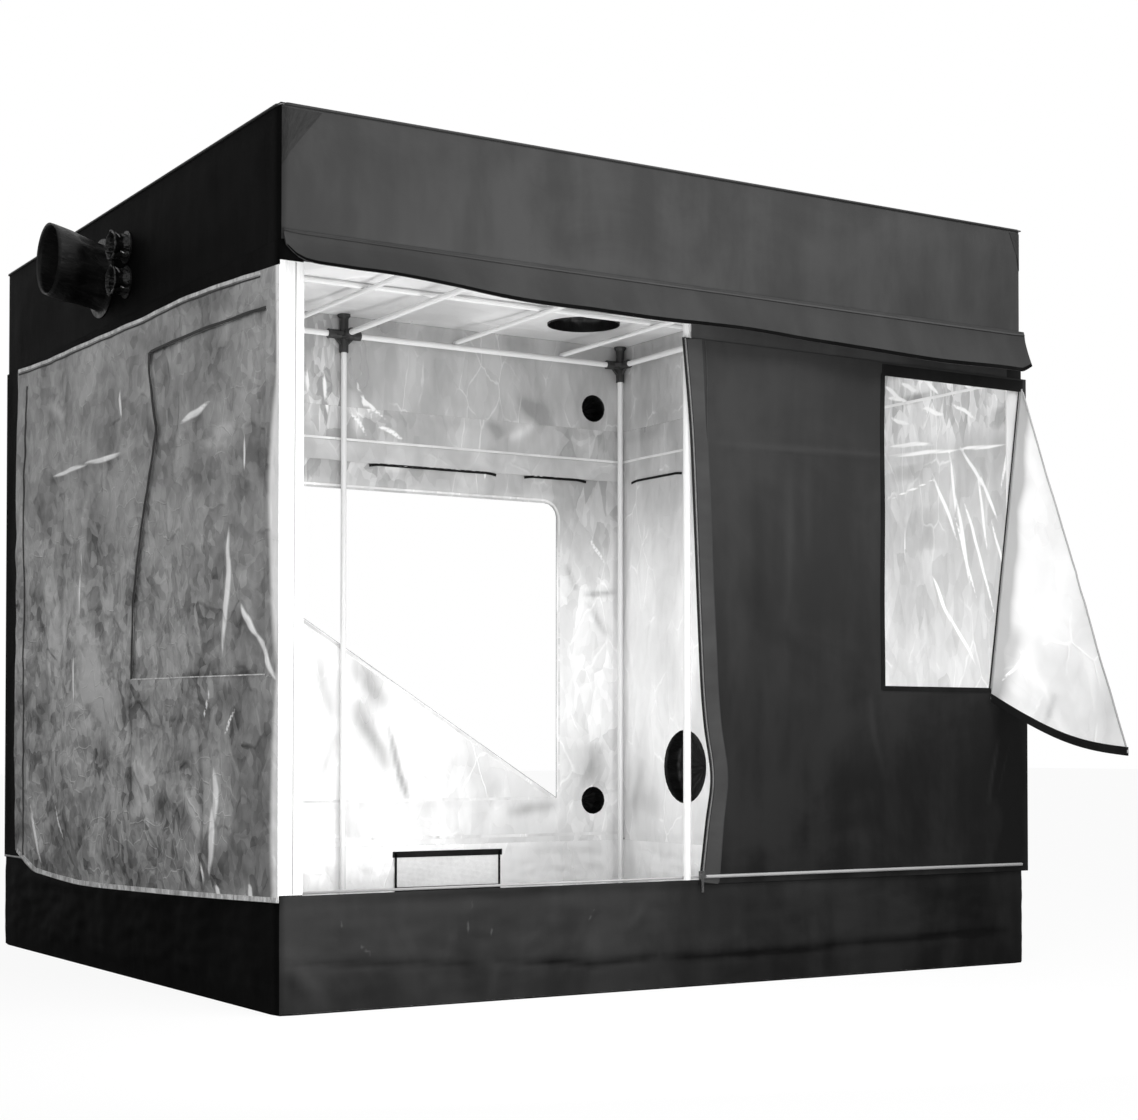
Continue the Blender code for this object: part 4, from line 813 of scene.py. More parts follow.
band_dark = cover_cloth("cover_band", 0.038, 0.058)
band = Cloth("top_band_cloth", (0, 1.560), (RING_LENGTH, BAND_TOP), (420, 28))
band.press(up_the_back(REAR_CREASES), up_the_back(REAR_TONES))
for low, high, bottom in ((-PAST_END, FRONT_START, BAND_LOW), (FRONT_START, FRONT_MIDDLE, 1.655),
                          (FRONT_END, RING_LENGTH + PAST_END, BAND_LOW)):
    band.pierce([(low, 1.55), (high, 1.55), (high, bottom), (low, bottom)])
for distance, up, radius in ((DUCT_RUN, 1.830, 0.0855), (CABLE_RUN, 1.875, 0.0317),
                             (CABLE_RUN, 1.785, 0.0317), (REAR_RUN, 1.775, PORT_RADIUS)):
    band.pierce_round((distance, up), radius)
band.hang(band_place, lambda point: Vector((point.x, point.y, 0)), left_in_shade)
band = band.make("tent", (band_dark, grey_foil, shaded_side_dark, grey_foil), "cover_cloth", ["top_band"])


# Seam trim: a reinforcing patch in each upper front corner, a rolled dark cord along the roof's seam and
# a pale one where the walls meet the sill.
patch_dark = cover_cloth("corner_patch", 0.026, 0.038)
for side, corner, reach, drop in (("left", 3.101, 0.100, 0.125), ("right", 5.3, -0.045, 0.100)):

    def patch_place(across, down):
        distance, height = corner + reach * across * (1 - down), 1.989 - drop * down
        return band_place(distance, height) + around(distance)[1] * (CLOTH_THICK / 2 + SEW)

    patch = Cloth("corner_patch_" + side, (0, 0), (1, 1), (8, 8))
    patch.hang(patch_place, -NORTH)
    patch.make("tent", (patch_dark,), "cover_cloth", (), 0.0012)


def rolled_edge(name, body, points, radius, finish, closed=False):
    """A thin cord of rolled cloth sewn into a seam."""
    curve = bpy.data.curves.new(name, "CURVE")
    curve.dimensions = "3D"
    curve.bevel_depth, curve.bevel_resolution = radius, 2
    curve.use_fill_caps = True
    line = curve.splines.new("POLY")
    line.points.add(len(points) - 1)
    for knot, point in zip(line.points, points):
        knot.co = (*point, 1)
    line.use_cyclic_u = closed
    roll = bpy.data.objects.new(name, curve)
    bpy.context.collection.objects.link(roll)
    curve.materials.append(finish.material)
    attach(roll, body)
    return roll


def rolled_cloth(name, gloss, low, high, size, rough):
    """Tightly rolled cloth, mottled between two levels and finely twisted."""
    rolled = Finish(name, Specular_IOR_Level=gloss)
    twist = rolled.cloud(None, 160)
    rolled.wear("Base Color", rolled.shades(rolled.cloud(None, size), low, high))
    rolled.wear("Roughness", twist * 0.3 + rough)
    rolled.bumps(twist, 0.3, 0.001)
    return rolled


def ring_line(distances, out, height):
    return [around(distance)[0] + around(distance)[1] * out + UP * height for distance in distances]


rolled_dark = rolled_cloth("rolled_dark", 0.3, 0.012, 0.035, 7, 0.4)
rolled_pale = rolled_cloth("rolled_pale", 0.4, 0.22, 0.42, 9, 0.35)
steps = [RING_LENGTH * step / 240 for step in range(240)]
rolled_edge("roof_piping", "tent", ring_line(steps, 0.002, 1.9975), 0.0034, rolled_dark, closed=True)
steps = [distance for distance in steps if not 3.08 < distance < 5.32]
rolled_edge("sill_piping", "tent", ring_line(steps, 0.003, 0.2640), 0.0030, rolled_pale)


# Valance: a loose strip of cover cloth sewn under the band's front, which hides the door zips. Its ends
# are cut round, its lower edge is bound, and it stands away from the tent in slow waves.
VALANCE_TOP, VALANCE_DEEP, VALANCE_OUT = 1.720, 0.12, 1.0026
VALANCE_EDGE = (
    (-1.1, 1.69), (-1.06, 1.655), (-1.0, 1.642), (-0.86, 1.637), (-0.7, 1.628), (-0.48, 1.615),
    (-0.3, 1.612), (0.05, 1.614), (0.3, 1.61), (0.6, 1.599), (0.95, 1.599), (1.06, 1.603), (1.103, 1.622))


def smooth_line(points, at):
    """A value read off a smooth line through points that are ordered by their first number."""
    last = len(points) - 1
    spot = next((i for i in range(last) if at <= points[i + 1][0]), last - 1)
    x0, x1 = points[spot][0], points[spot + 1][0]
    share = min(max((at - x0) / (x1 - x0), 0), 1)
    y0, y1 = points[spot][1], points[spot + 1][1]
    before, after = points[max(spot - 1, 0)], points[min(spot + 2, last)]
    lead = (y1 - before[1]) / (x1 - before[0]) * (x1 - x0)
    trail = (after[1] - y0) / (after[0] - x0) * (x1 - x0)
    square, cube = share * share, share ** 3
    return (y0 * (2 * cube - 3 * square + 1) + lead * (cube - 2 * square + share)
            + y1 * (3 * square - 2 * cube) + trail * (cube - square))


def valance_place(x, down, lift=0.0):
    """down runs from 0 along the seam to the bound edge."""
    fall = down / VALANCE_DEEP
    edge = smooth_line(VALANCE_EDGE, x)
    ripple = 0.006 * math.sin(5 * math.pi * x / 1.1) + 0.003 * rumple(x, 0, 0.09, 51)
    ends = (0.25 + 0.75 * fade(x + 1.1, 0, 0.14)) * (1 - 0.4 * fade(x, 1.0, 1.1))
    flare = (0.055 + ripple) * fall ** 1.4 * ends + 0.0025 * math.exp(-((fall - 0.12) / 0.05) ** 2)
    return Vector((x, -VALANCE_OUT - flare - lift, VALANCE_TOP + (edge - VALANCE_TOP) * fall))


valance_dark = cover_cloth("cover_valance", 0.032, 0.046)
valance = Cloth("front_valance_cloth", (-1.093, 0), (1.103, VALANCE_DEEP), (150, 12))
valance.hang(valance_place, -NORTH)
valance = valance.make("tent", (valance_dark, shaded_side_dark), "cover_cloth", ["front_valance"])
valance_trims = (
    ("valance_hem", [(-1.090, 0.1150), (1.101, 0.1150)], 0.010, shaded_side_dark),
    ("valance_seam", [(-1.093, 0.010), (1.102, 0.010)], 0.005, rolled_dark))
sewn = [tape(name, "tent", line, width, lambda x, down: valance_place(x, down, 0.0024), finish)
        for name, line, width, finish in valance_trims]


# Roof: one sheet of cover cloth with the lining below, held by its sewn edges and sagging a little
# between them, with a round hole for its duct sleeve.
ROOF_PORT = (0.700, 0.620)
ROOF_HIGH, ROOF_SAG = 1.9985, 0.0235


def roof_sag(share):
    return 1 - min(abs(share) / 0.94, 1) ** 4


def roof_place(x, y):
    hang = roof_sag(x / 1.1) * roof_sag(y)
    billow = 0.0040 * max(rumple(x, y, 0.30, 61), 0) + 0.0020 * max(rumple(x, y * 2, 0.12, 62), 0)
    near_port = fade(math.hypot(x - ROOF_PORT[0], y - ROOF_PORT[1]), 0.12, 0.20)
    return Vector((x, y, ROOF_HIGH - ROOF_SAG * hang + billow * hang * near_port))


roof_foil = silver_lining("lining_roof", 0.48, 0.88, (1.5, 1.2), 1.2)
roof = Cloth("roof_cloth", (-1.0988, -0.9988), (1.0988, 0.9988), (90, 82))
roof.pierce_round(ROOF_PORT, 0.1192, 28)
roof.hang(roof_place, UP)
roof = roof.make("tent", (wall_dark, roof_foil), "cover_cloth", ["roof"])


# Duct sleeves: tubes of thin black coated cloth sewn to a ring on the wall. The open ones end in a
# stiff cuff, and the others are drawn shut with a cord into a pleated rosette.
sleeve_black = Finish("sleeve_black", Specular_IOR_Level=0.22)
sleeve_cut = sleeve_black.flat_place()
crush = sleeve_black.cloud(sleeve_black.stretched(sleeve_cut, 60, 22), 1.0, 4, 1.0)
sleeve_black.wear("Base Color", sleeve_black.shades(sleeve_black.cloud(sleeve_cut, 18), 0.002, 0.007))
sleeve_black.wear("Roughness", crush * 0.35 + 0.25)
sleeve_black.bumps(crush, 0.7, 0.004)
sleeve_glints = silver_lining("sleeve_glints", 0.003, 0.03, (26, 16), 2.5, 0.4)
GLINTS = [
    (0.02, 0.03, 0.05, 0.048, 0.006), (0.06, 0.045, 0.09, 0.04, 0.005), (0.15, 0.036, 0.17, 0.048, 0.006),
    (0.19, 0.048, 0.22, 0.043, 0.005), (0.1, 0.02, 0.11, 0.034, 0.005), (0.2, 0.015, 0.21, 0.03, 0.005)]


def duct_sleeve(name, centre, axis, side, rows, pleats, finish, wall_name, seed, tilt=0.0):
    """rows give radius, distance out of the wall and pleat depth along the tube, from its ring on."""
    third = axis.cross(side)
    lengths = [0.0]
    for (r0, out0, _), (r1, out1, _) in zip(rows, rows[1:]):
        lengths.append(lengths[-1] + math.hypot(r1 - r0, out1 - out0))
    girth, long = math.tau * max(row[0] for row in rows), lengths[-1]

    def place(u, v):
        spot = next((i for i in range(len(rows) - 1) if v <= lengths[i + 1] + 1e-9), len(rows) - 2)
        share = (v - lengths[spot]) / max(lengths[spot + 1] - lengths[spot], 1e-9)
        radius, out, depth = (a + (b - a) * share for a, b in zip(rows[spot], rows[spot + 1]))
        turn = math.tau * u / girth
        fold = math.sin(pleats * turn + 1.4 * noise.noise((math.cos(turn) * 1.5, math.sin(turn) * 1.5, seed)))
        radius = max(radius + depth * fold, 0.002)
        crinkle = depth * 0.5 * noise.noise((math.cos(turn) * 4, math.sin(turn) * 4, out * 40 + seed))
        ring = (side * math.cos(turn) + third * math.sin(turn)) * radius
        return centre + axis * (out + crinkle) + ring + UP * max(out - 0.0033, 0) * tilt

    tube = Cloth(name + "_cloth", (0, 0), (girth, long), (96, 26))
    tube.press(GLINTS)
    tube.hang(place, lambda point: (point - centre) - axis * (point - centre).dot(axis))
    tube = tube.make("tent", (finish,), "sleeve_cloth", [name], 0.0022)
    0.8 * girth * long


duct_rows = [
    (0.104, 0.0018, 0), (0.088, 0.002, 0), (0.086, 0.008, 0.001), (0.083, 0.035, 0.004),
    (0.086, 0.07, 0.004), (0.091, 0.088, 0.001), (0.0925, 0.095, 0), (0.0925, 0.147, 0), (0.09, 0.149, 0),
    (0.0885, 0.146, 0), (0.0885, 0.08, 0.002)]
duct_sleeve("duct_sleeve_left", Vector((-1.1, 0.160, 1.830)), -EAST, NORTH, duct_rows, 9, sleeve_black,
            "top_band_cloth", 3, math.tan(math.radians(14)))
cable_rows = [
    (0.042, 0.0018, 0), (0.034, 0.002, 0), (0.033, 0.008, 0.001), (0.03, 0.02, 0.002),
    (0.034, 0.032, 0.003), (0.038, 0.043, 0.002), (0.0345, 0.0445, 0.001), (0.031, 0.036, 0.001)]
for level, up in (("upper", 1.875), ("lower", 1.785)):
    duct_sleeve("cable_sleeve_left_" + level, Vector((-1.1, -0.030, up)), -EAST, NORTH, cable_rows, 7,
                sleeve_glints, "top_band_cloth", up * 7)


def drawn_rows(radius, length, ring):
    """A sleeve drawn shut: straight off the wall, then in to a pleated rosette."""
    return [(radius + ring, 0.0018, 0), (radius + 0.002, 0.0020, 0), (radius, 0.008, 0.0008),
            (radius, length * 0.35, 0.002), (radius * 0.97, length * 0.62, 0.004),
            (radius * 0.66, length * 0.80, 0.006), (radius * 0.33, length * 0.93, 0.005),
            (radius * 0.12, length * 0.97, 0.002), (0.002, length * 0.96, 0)]


for level, up, wall_name in (("upper", 1.775, "top_band_cloth"), ("lower", REAR_PORT[1], "rear_wall_cloth")):
    duct_sleeve("cable_sleeve_rear_" + level, Vector((REAR_PORT[0], 1.0, up)), NORTH, EAST,
                drawn_rows(0.048, 0.088, 0.019), 9, sleeve_black, wall_name, up * 5)
duct_sleeve("duct_sleeve_right", Vector((1.1, PORT_Y, PORT_Z)), EAST, NORTH,
            drawn_rows(0.125, 0.088, 0.019), 15, sleeve_black, "right_wall_cloth", 9)
roof_rows = [
    (0.1185, -0.025, 0), (0.1185, 0.004, 0), (0.117, 0.012, 0.002), (0.098, 0.03, 0.005),
    (0.062, 0.04, 0.005), (0.03, 0.0445, 0.003), (0.01, 0.0455, 0.001), (0.002, 0.045, 0)]
duct_sleeve("duct_sleeve_roof", Vector((*ROOF_PORT, 2.0)), UP, EAST, roof_rows, 15, sleeve_black,
            "roof_cloth", 12)


# Left door: cover cloth lined with crinkled foil, swung right round against the left wall so that the
# lining shows. It is held by its seam at the corner pole and hangs in upright folds.
HINGE_X, HINGE_Y = 1.1045, -1.0045
DOOR_LOW, DOOR_TALL = 0.245, 1.395
LEFT_AXIS = Vector((-HINGE_X, HINGE_Y, 0))
LEFT_TURN, LEFT_WIDTH = math.radians(103), 1.095
LEFT_ALONG = Vector((math.cos(LEFT_TURN), math.sin(LEFT_TURN), 0))
LEFT_LINING = UP.cross(LEFT_ALONG)
LEFT_TOP = ((0, 1.64), (0.3285, 1.624), (0.5475, 1.598), (0.8, 1.572), (0.95, 1.556), (1.095, 1.548))
LEFT_FOOT = (
    (0, 0.247), (0.3, 0.245), (0.6, 0.246), (0.8, 0.25), (0.95, 0.266), (1.02, 0.278), (1.095, 0.325))
# The left door's creases carry painted highlights, the broad pale ones down the hinge edge among them, and
# its tones painted light and shade on its folds.
LEFT_CREASES = [
    (0.175, 1.11, 0.205, 0.77, 0.016), (0.77, 1.09, 0.785, 0.84, 0.006), (0.8, 0.82, 0.805, 0.67, 0.006),
    (0.94, 1.255, 0.72, 1.275, 0.01), (0.77, 1.275, 0.58, 1.285, 0.011), (0.12, 1.29, 0.12, 1.19, 0.006),
    (0.135, 0.91, 0.07, 0.82, 0.015), (0.09, 0.85, 0.0, 0.72, 0.016), (0.14, 0.68, 0.2, 0.6, 0.008),
    (0.24, 0.73, 0.27, 0.63, 0.006), (0.23, 0.55, 0.225, 0.41, 0.018), (0.225, 0.48, 0.25, 0.28, 0.02),
    (0.6, 0.43, 0.6, 0.28, 0.006), (0.9, 0.46, 0.84, 0.34, 0.006), (1.02, 0.46, 0.96, 0.27, 0.009),
    (0.38, 1.33, 0.24, 1.37, 0.015), (0.23, 0.28, 0.2, 0.24, 0.014), (0.1, 0.29, 0.09, 0.24, 0.014),
    (0.61, 1.45, 0.6, 1.36, 0.01), (0.28, 0.34, 0.27, 0.26, 0.008), (0.0, 1.46, 0.004, 0.72, 0.045),
    (0.0, 0.98, 0.003, 0.12, 0.045), (0.0, 1.8, 0.0, 1.2, 0.02)]
LEFT_TONES = [
    (0.95, 1.02, 0.91, 0.66, 0.012, 0.5), (0.86, 0.98, 0.85, 0.77, 0.01, 0.5),
    (0.35, 0.54, 0.29, 0.38, 0.012, 0.5), (0.41, 0.47, 0.4, 0.29, 0.06, -0.35),
    (0.66, 0.46, 0.66, 0.29, 0.03, -0.3), (0.75, 0.82, 0.62, 0.58, 0.035, 0.4),
    (0.52, 0.68, 0.45, 0.48, 0.035, 0.35), (0.68, 0.95, 0.67, 0.8, 0.02, 0.4),
    (0.28, 0.64, 0.28, 0.24, 0.008, -0.5), (0.94, 1.45, 0.86, 1.4, 0.014, 0.5),
    (0.24, 1.29, 0.16, 1.3, 0.014, 0.5), (0.556, 0.74, 0.556, 0.44, 0.005, -0.6),
    (0.8, 1.0, 0.72, 0.6, 0.05, 0.6), (0.93, 1.08, 0.88, 0.68, 0.02, 0.5),
    (0.55, 0.64, 0.5, 0.42, 0.035, 0.5), (0.96, 0.98, 0.85, 0.86, 0.014, 0.4),
    (0.77, 1.12, 0.73, 1.23, 0.01, 0.4), (0.3, 1.28, 0.17, 1.26, 0.012, 0.35),
    (0.45, 0.748, 0.05, 0.748, 0.006, -0.3)]


def left_door_place(along, up, lift=0.0):
    """The hung door: deep soft folds towards its lining, finer ones over them, and its pressed creases."""
    turn = math.pi * 4.5 * along / LEFT_WIDTH + 0.8 * up
    clear = fade(along, 0.066, 0.11) * fade(up, 0.262, 0.33)
    free = math.sin(math.pi * min(max(along / 1.226, 0), 1)) * fade(along, 0.07, 0.17)
    tall = fade(up, 0.27, 0.45) * fade(1.60 - up, 0, 0.25)
    fold = 0.010 * math.sin(turn) ** 2 * free * tall
    fine = 0.0035 * rumple(along, up * 0.4, 0.07, 71) + 0.0025 * rumple(along, up, 0.05, 72)
    fine += 0.004 * rumple(along, up * 0.5, 0.19, 73)
    fold += max(fine + 0.003, 0) * clear
    fold += (0.004 * crease_and_highlight(along, up, LEFT_CREASES) ** 2
             + 0.003 * max(toned(along, up, LEFT_TONES), -0.5)) * clear
    return LEFT_AXIS + LEFT_ALONG * along + LEFT_LINING * (fold + lift) + UP * up


def left_cut(along, up):
    """The door's cut: its foot and top run in smooth lines, and its free edge waves a little."""
    low, high = smooth_line(LEFT_FOOT, along), smooth_line(LEFT_TOP, along)
    edge = 0.004 * rumple(0, up, 0.12, 74) * fade(along, 0.95, 1.09)
    return along + edge, low + (high - low) * (up - DOOR_LOW) / DOOR_TALL


# The left door's lining is painted far darker than the linings inside the tent, as painted shade.
shaded_door_foil = silver_lining("lining_left_door_shaded", 0.06, 0.49, (6, 4.0), 3.4, crushed=lambda foil, across, up: (
    (1 - foil.ease(up, 0.85, 1.25)) * foil.ease(across, 0.1, 0.4) * 0.3 + 0.14))
# Painted light on the door cloth: darker towards the foot, paler towards the top, and paler again above 1.34
# m.
door_dark = cover_cloth("cover_door", 0.006, 0.038, painted_light=lambda cloth, across, up: (
    cloth.ease(up, 0.32, 1.28) * 0.88 + cloth.ease(up, 1.336, 1.346) * 0.12))
WINDOW = [
    (0.045, 0.745), (0.55, 0.745), (0.548, 0.93), (0.52, 1.08), (0.478, 1.24), (0.462, 1.33),
    (0.497, 1.512), (0.045, 1.552)]
left_door = Cloth("left_door_cloth", (-0.004, DOOR_LOW), (LEFT_WIDTH, DOOR_LOW + DOOR_TALL), (150, 190))
shape(left_door, left_cut)
hinge_side, head = WINDOW[-1]
for (x0, z0), (x1, z1) in zip(WINDOW[1:6], WINDOW[2:7]):
    left_door.pierce([(hinge_side, z0), (x0, z0), (x1, z1), (hinge_side, head if z1 > 1.5 else z1)], 0.008)
left_door.press(LEFT_CREASES, LEFT_TONES)
left_door.hang(left_door_place, LEFT_LINING)
left_door = left_door.make("left_door", (shaded_door_foil, door_dark), "silver_lining", ["left_door"])


# Left door trim: a doubled hem with a dark stitched line under it, a zipped edge strip down the free
# side, a bound foot, and the dark zip of the window, which is shut.
pale_hem = silver_lining("hem_pale", 0.30, 0.90, (30, 12), 2.5)


def left_trim(name, line, width, lift, finish, thick, slot="cover_cloth", step=0.02):
    """A tape sewn to the lining side of the left door."""
    def place(along, up):
        return left_door_place(along, up, CLOTH_THICK / 2 + lift)

    return tape(name, "left_door", line, width, place, finish, thick, slot, step)


top_line = [(x, smooth_line(LEFT_TOP, x) - 0.005) for x in (0.066 + 0.0512 * step for step in range(21))]
stitch_line = [(x, z - 0.009) for x, z in top_line]
edge_line = [(1.052 + 0.003 * math.sin(7 * z), z) for z in (0.31, 0.5, 0.7, 0.9, 1.1, 1.3, 1.50)]
foot_line = [(x, smooth_line(LEFT_FOOT, x) + 0.006) for x in (0.0, 0.2, 0.4, 0.6, 0.7, 0.8, 0.9, 1.0, 1.085)]
window_line = WINDOW[-1:] + [(0.27, 1.537), (0.40, 1.524)] + WINDOW[-2:-7:-1] + WINDOW[1:2]
trims = [left_trim("left_door_top_hem", top_line, 0.008, 0.0008, pale_hem, 0.0016, "silver_lining"),
         left_trim("left_door_hem_stitch", stitch_line, 0.0035, 0.0005, rolled_dark, 0.0010),
         left_trim("left_door_edge_zip", edge_line, 0.005, SEW, rolled_dark, 0.0012),
         left_trim("left_door_foot_hem", foot_line, 0.011, SEW, pale_hem, 0.0014, "silver_lining"),
         left_trim("left_window_zip", window_line, 0.0065, 0.0009, rolled_dark, 0.0014, step=0.012),
         left_trim("left_window_foot_zip", WINDOW[1::-1], 0.0028, SEW, pale_hem, 0.0012, "silver_lining")]


# Left window flap: the lined panel that closes the window from the wall side, zipped shut all round. It is
# cut from the same two cloths as the door, and pressed with the same creases, with the same painted
# highlights and painted light and shade.
flap = Cloth("left_window_flap_cloth", (0.047, 0.715), (0.575, 1.585), (86, 140))
flap.press(LEFT_CREASES, LEFT_TONES)
flap.hang(lambda along, up: left_door_place(along, up, -0.0040), LEFT_LINING)
flap = flap.make("left_window_flap", (shaded_door_foil, door_dark), "silver_lining", ["left_window_flap"], 0.0025)


# Left doorway strip: the zip facing down the left side of the doorway, turned outwards where the door is
# folded back. It is one strip of smooth lining, painted near white as painted light, with a pale cord
# sewn along it.
strip_lit_lining = silver_lining("strip_lit_lining", 0.70, 0.90, (4, 2.0), 1.5, 0.1)
STRIP_WIDE, STRIP_X, STRIP_Y = 0.0575, -1.1005, -1.0012


def strip_place(across, up, lift=0.0):
    """across runs from 0 at the pole to 1 at the doorway."""
    ripple = 0.0003 * rumple(across, up, 0.06, 81)
    return Vector((STRIP_X + STRIP_WIDE * across, STRIP_Y - lift - ripple, up))


strip = Cloth("left_doorway_strip", (0, 0.262), (1, 1.652), (8, 120))
strip.hang(strip_place, -NORTH)
strip = strip.make("tent", (strip_lit_lining,), "silver_lining", (), 0.0014)
strip_edge = tape("left_doorway_piping", "tent", [(0.58, 0.264), (0.66, 1.650)], 0.05,
                  lambda across, up: strip_place(across, up, 0.0009), rolled_pale, 0.0006, "silver_lining")


# Right door: the same cover cloth and lining, hanging shut. Its free edge curls along the doorway with its
# half of the open zip on it, and its window is open, because the panel stands out as a flap.
RIGHT_AXIS = Vector((HINGE_X, HINGE_Y, 0))
RIGHT_WIDTH, WINDOW_SIDE = 1.1, 0.497
RIGHT_EDGE = (
    (0.25, 1.0901), (0.4, 1.0703), (0.51, 1.0549), (0.64, 1.0747), (0.76, 1.0857), (1.15, 1.1044),
    (1.37, 1.116), (1.59, 1.138))
# The right door's tones are painted light and shade on its folds, which they also shape.
RIGHT_TONES = [
    (0.44, 1.346, 1.06, 1.334, 0.006, 0.3), (0.8, 1.33, 0.815, 0.9, 0.014, 0.25),
    (0.745, 1.33, 0.75, 1.05, 0.014, 0.2), (0.05, 0.64, 0.1, 0.46, 0.008, 0.35),
    (0.1, 0.62, 0.14, 0.43, 0.006, 0.3), (0.55, 0.72, 0.5, 0.5, 0.012, 0.2),
    (0.065, 0.86, 0.065, 0.06, 0.04, -0.4), (0.9, 1.25, 0.93, 0.5, 0.03, -0.15)]


def right_edge(up, inset=0.0):
    """How far from the hinge the free edge runs at a height, or a line set in from it."""
    return smooth_line(RIGHT_EDGE, up) - inset


def right_door_place(along, up, lift=0.0):
    """The shut door: shallow folds towards the tent, and a slight outward curl along its free edge."""
    turn = math.pi * 3 * max(along - WINDOW_SIDE, 0) / RIGHT_WIDTH
    tall = fade(up, 0.25, 0.50) * fade(1.59 - up, 0, 0.2)
    free = fade(along, 0.06, 0.16) * fade(right_edge(up) - along, 0, 0.06)
    fold = (0.0075 * math.sin(turn) ** 2 + 0.003 + 0.0030 * rumple(along, up * 0.6, 0.16, 91)) * tall * free
    fold -= 0.006 * toned(along, up, RIGHT_TONES) * free
    return RIGHT_AXIS - EAST * along + NORTH * (max(fold, -0.002) - lift) + UP * up


def right_cut(along, up):
    """The door's cut: straight as far as its window, and drawn in from there to its free edge."""
    if along <= 0.5:
        return along, up
    return 0.5 + (along - 0.5) / (RIGHT_WIDTH - 0.5) * (right_edge(up) - 0.5), up


right_door = Cloth("right_door_cloth", (-0.003, 0.250), (RIGHT_WIDTH, 1.590), (130, 160))
shape(right_door, right_cut)
right_door.press([], RIGHT_TONES)
right_door.pierce([(0.1334, 0.745), (WINDOW_SIDE, 0.745), (WINDOW_SIDE, 1.555), (0.0225, 1.555)])
right_door.hang(right_door_place, -NORTH)
right_door = right_door.make("right_door", (door_dark, grey_foil), "cover_cloth", ["right_door"])


# Right door trim: a doubled strip and the zip along the free edge, black binding round the window,
# and a pale rolled edge where the door's foot meets the sill.
PROUD = 0.0022
zip_teeth = Finish("zip_teeth", Metallic=0.6)
teeth_along, teeth_across = zip_teeth.parts(zip_teeth.flat_place())
tooth = ((teeth_along * 2400).math("SINE") > 0.0) * (abs(teeth_across) < 0.0022)
zip_teeth.wear("Base Color", zip_teeth.shades(tooth, 0.015, 0.45))
zip_teeth.wear("Roughness", tooth * -0.3 + 0.6)
zip_teeth.bumps(tooth, 0.6, 0.001)


def right_trim(name, line, width, finish, lift=0.0008, thick=0.0012, slot="cover_cloth"):
    """A tape sewn to the outside of the right door."""
    def place(along, up):
        return right_door_place(along, up, CLOTH_THICK / 2 + lift)

    return tape(name, "right_door", line, width, place, finish, thick, slot)


heights = [0.252 + 1.336 * step / 40 for step in range(41)]
seam_line = [(right_edge(z, 0.0575) - 0.010 * fade(z, 1.30, 1.55), z) for z in heights]
strip_line, teeth_line = ([(right_edge(z, inset), z) for z in heights] for inset in (0.030, 0.006))
trims = [right_trim("right_door_edge_strip", strip_line, 0.052, band_dark, thick=0.0014),
         right_trim("right_door_strip_seam", seam_line, 0.0035, rolled_dark, SEW, 0.001),
         right_trim("right_door_zip", teeth_line, 0.010, zip_teeth, PROUD, 0.0014, "zip_metal")]
window_borders = (
    ("side", [(0.503, 0.735), (0.503, 1.560)], 0.013, black_tape),
    ("foot", [(0.505, 0.738), (0.125, 0.738)], 0.012, black_tape),
    ("head", [(0.505, 1.570), (0.010, 1.570)], 0.030, black_tape),
    ("hinge", [(0.128, 0.740), (0.0185, 1.555)], 0.005, rolled_pale))
for part, line, width, finish in window_borders:
    trims.append(right_trim("right_window_border_" + part, line, width, finish))
foot_points = [right_door_place(0.022 + 1.05 * step / 60, 0.268, CLOTH_THICK / 2 + PROUD)
               for step in range(61)]
rolled_edge("right_door_foot_piping", "right_door", foot_points, 0.0042, rolled_pale)


# Right window flap: the lined window panel, half unzipped, standing out on its slanted fold line as a
# three-cornered sail. A thick black hem runs along its foot and a thin one up its outer edge.
FLAP_HEAD = Vector((1.088, -1.0108, 1.562))
FLAP_FOOT = Vector((0.972, -1.0108, 0.715))
FLAP_AXIS = (FLAP_FOOT - FLAP_HEAD).normalized()
FLAP_TURN, FLAP_WIDE, HEM_END = math.radians(100), 0.44, 0.4395
FLAP_OPEN = NORTH.cross(FLAP_AXIS) * math.cos(FLAP_TURN) - NORTH * math.sin(FLAP_TURN)
FLAP_NORMAL = FLAP_OPEN.cross(FLAP_AXIS)
FLAP_CORNER = FLAP_HEAD + FLAP_AXIS * 0.990 + FLAP_OPEN * FLAP_WIDE
# The flap's tones are painted shade along its fold and on its folds, and its creases carry painted
# highlights.
FLAP_CREASES = [(0.02, 0.06, 0.09, 0.2, 0.008), (0.12, 0.02, 0.16, 0.12, 0.008)]
FLAP_TONES = [
    (0.0, -0.3, 0.0, 1.5, 0.034, -1.0), (0.03, 0.02, 0.06, 0.26, 0.02, -0.5),
    (0.16, 0.0, 0.19, 0.12, 0.01, -0.4), (0.3, 0.0, 0.42, 0.22, 0.05, -0.15)]


def flap_share(up):
    """How much of the foot's width the three-cornered cut has at a height from 0 to 1."""
    return 0.02 + 0.98 * (1 - up)


def flap_place(across, up):
    """up runs from 0 along the foot to 1 at the head."""
    fall = 1 - up
    share = min(max(across / FLAP_WIDE / flap_share(up), 0), 1)
    near, far = FLAP_HEAD.lerp(FLAP_FOOT, fall), FLAP_HEAD.lerp(FLAP_CORNER, 0.01 + 0.99 * fall)
    sag = 0.022 * math.sin(math.pi * share) * fall
    hem_bow = Vector((0, 0, -0.030)) * math.sin(math.pi * share) * fade(fall, 0.6, 1.0)
    soft = 0.004 * rumple(across, up, 0.14, 95) + 0.004 * crease_and_highlight(across, up, FLAP_CREASES)
    soft *= fade(share, 0, 0.12)
    return near.lerp(far, share) + FLAP_NORMAL * (sag + soft) + hem_bow


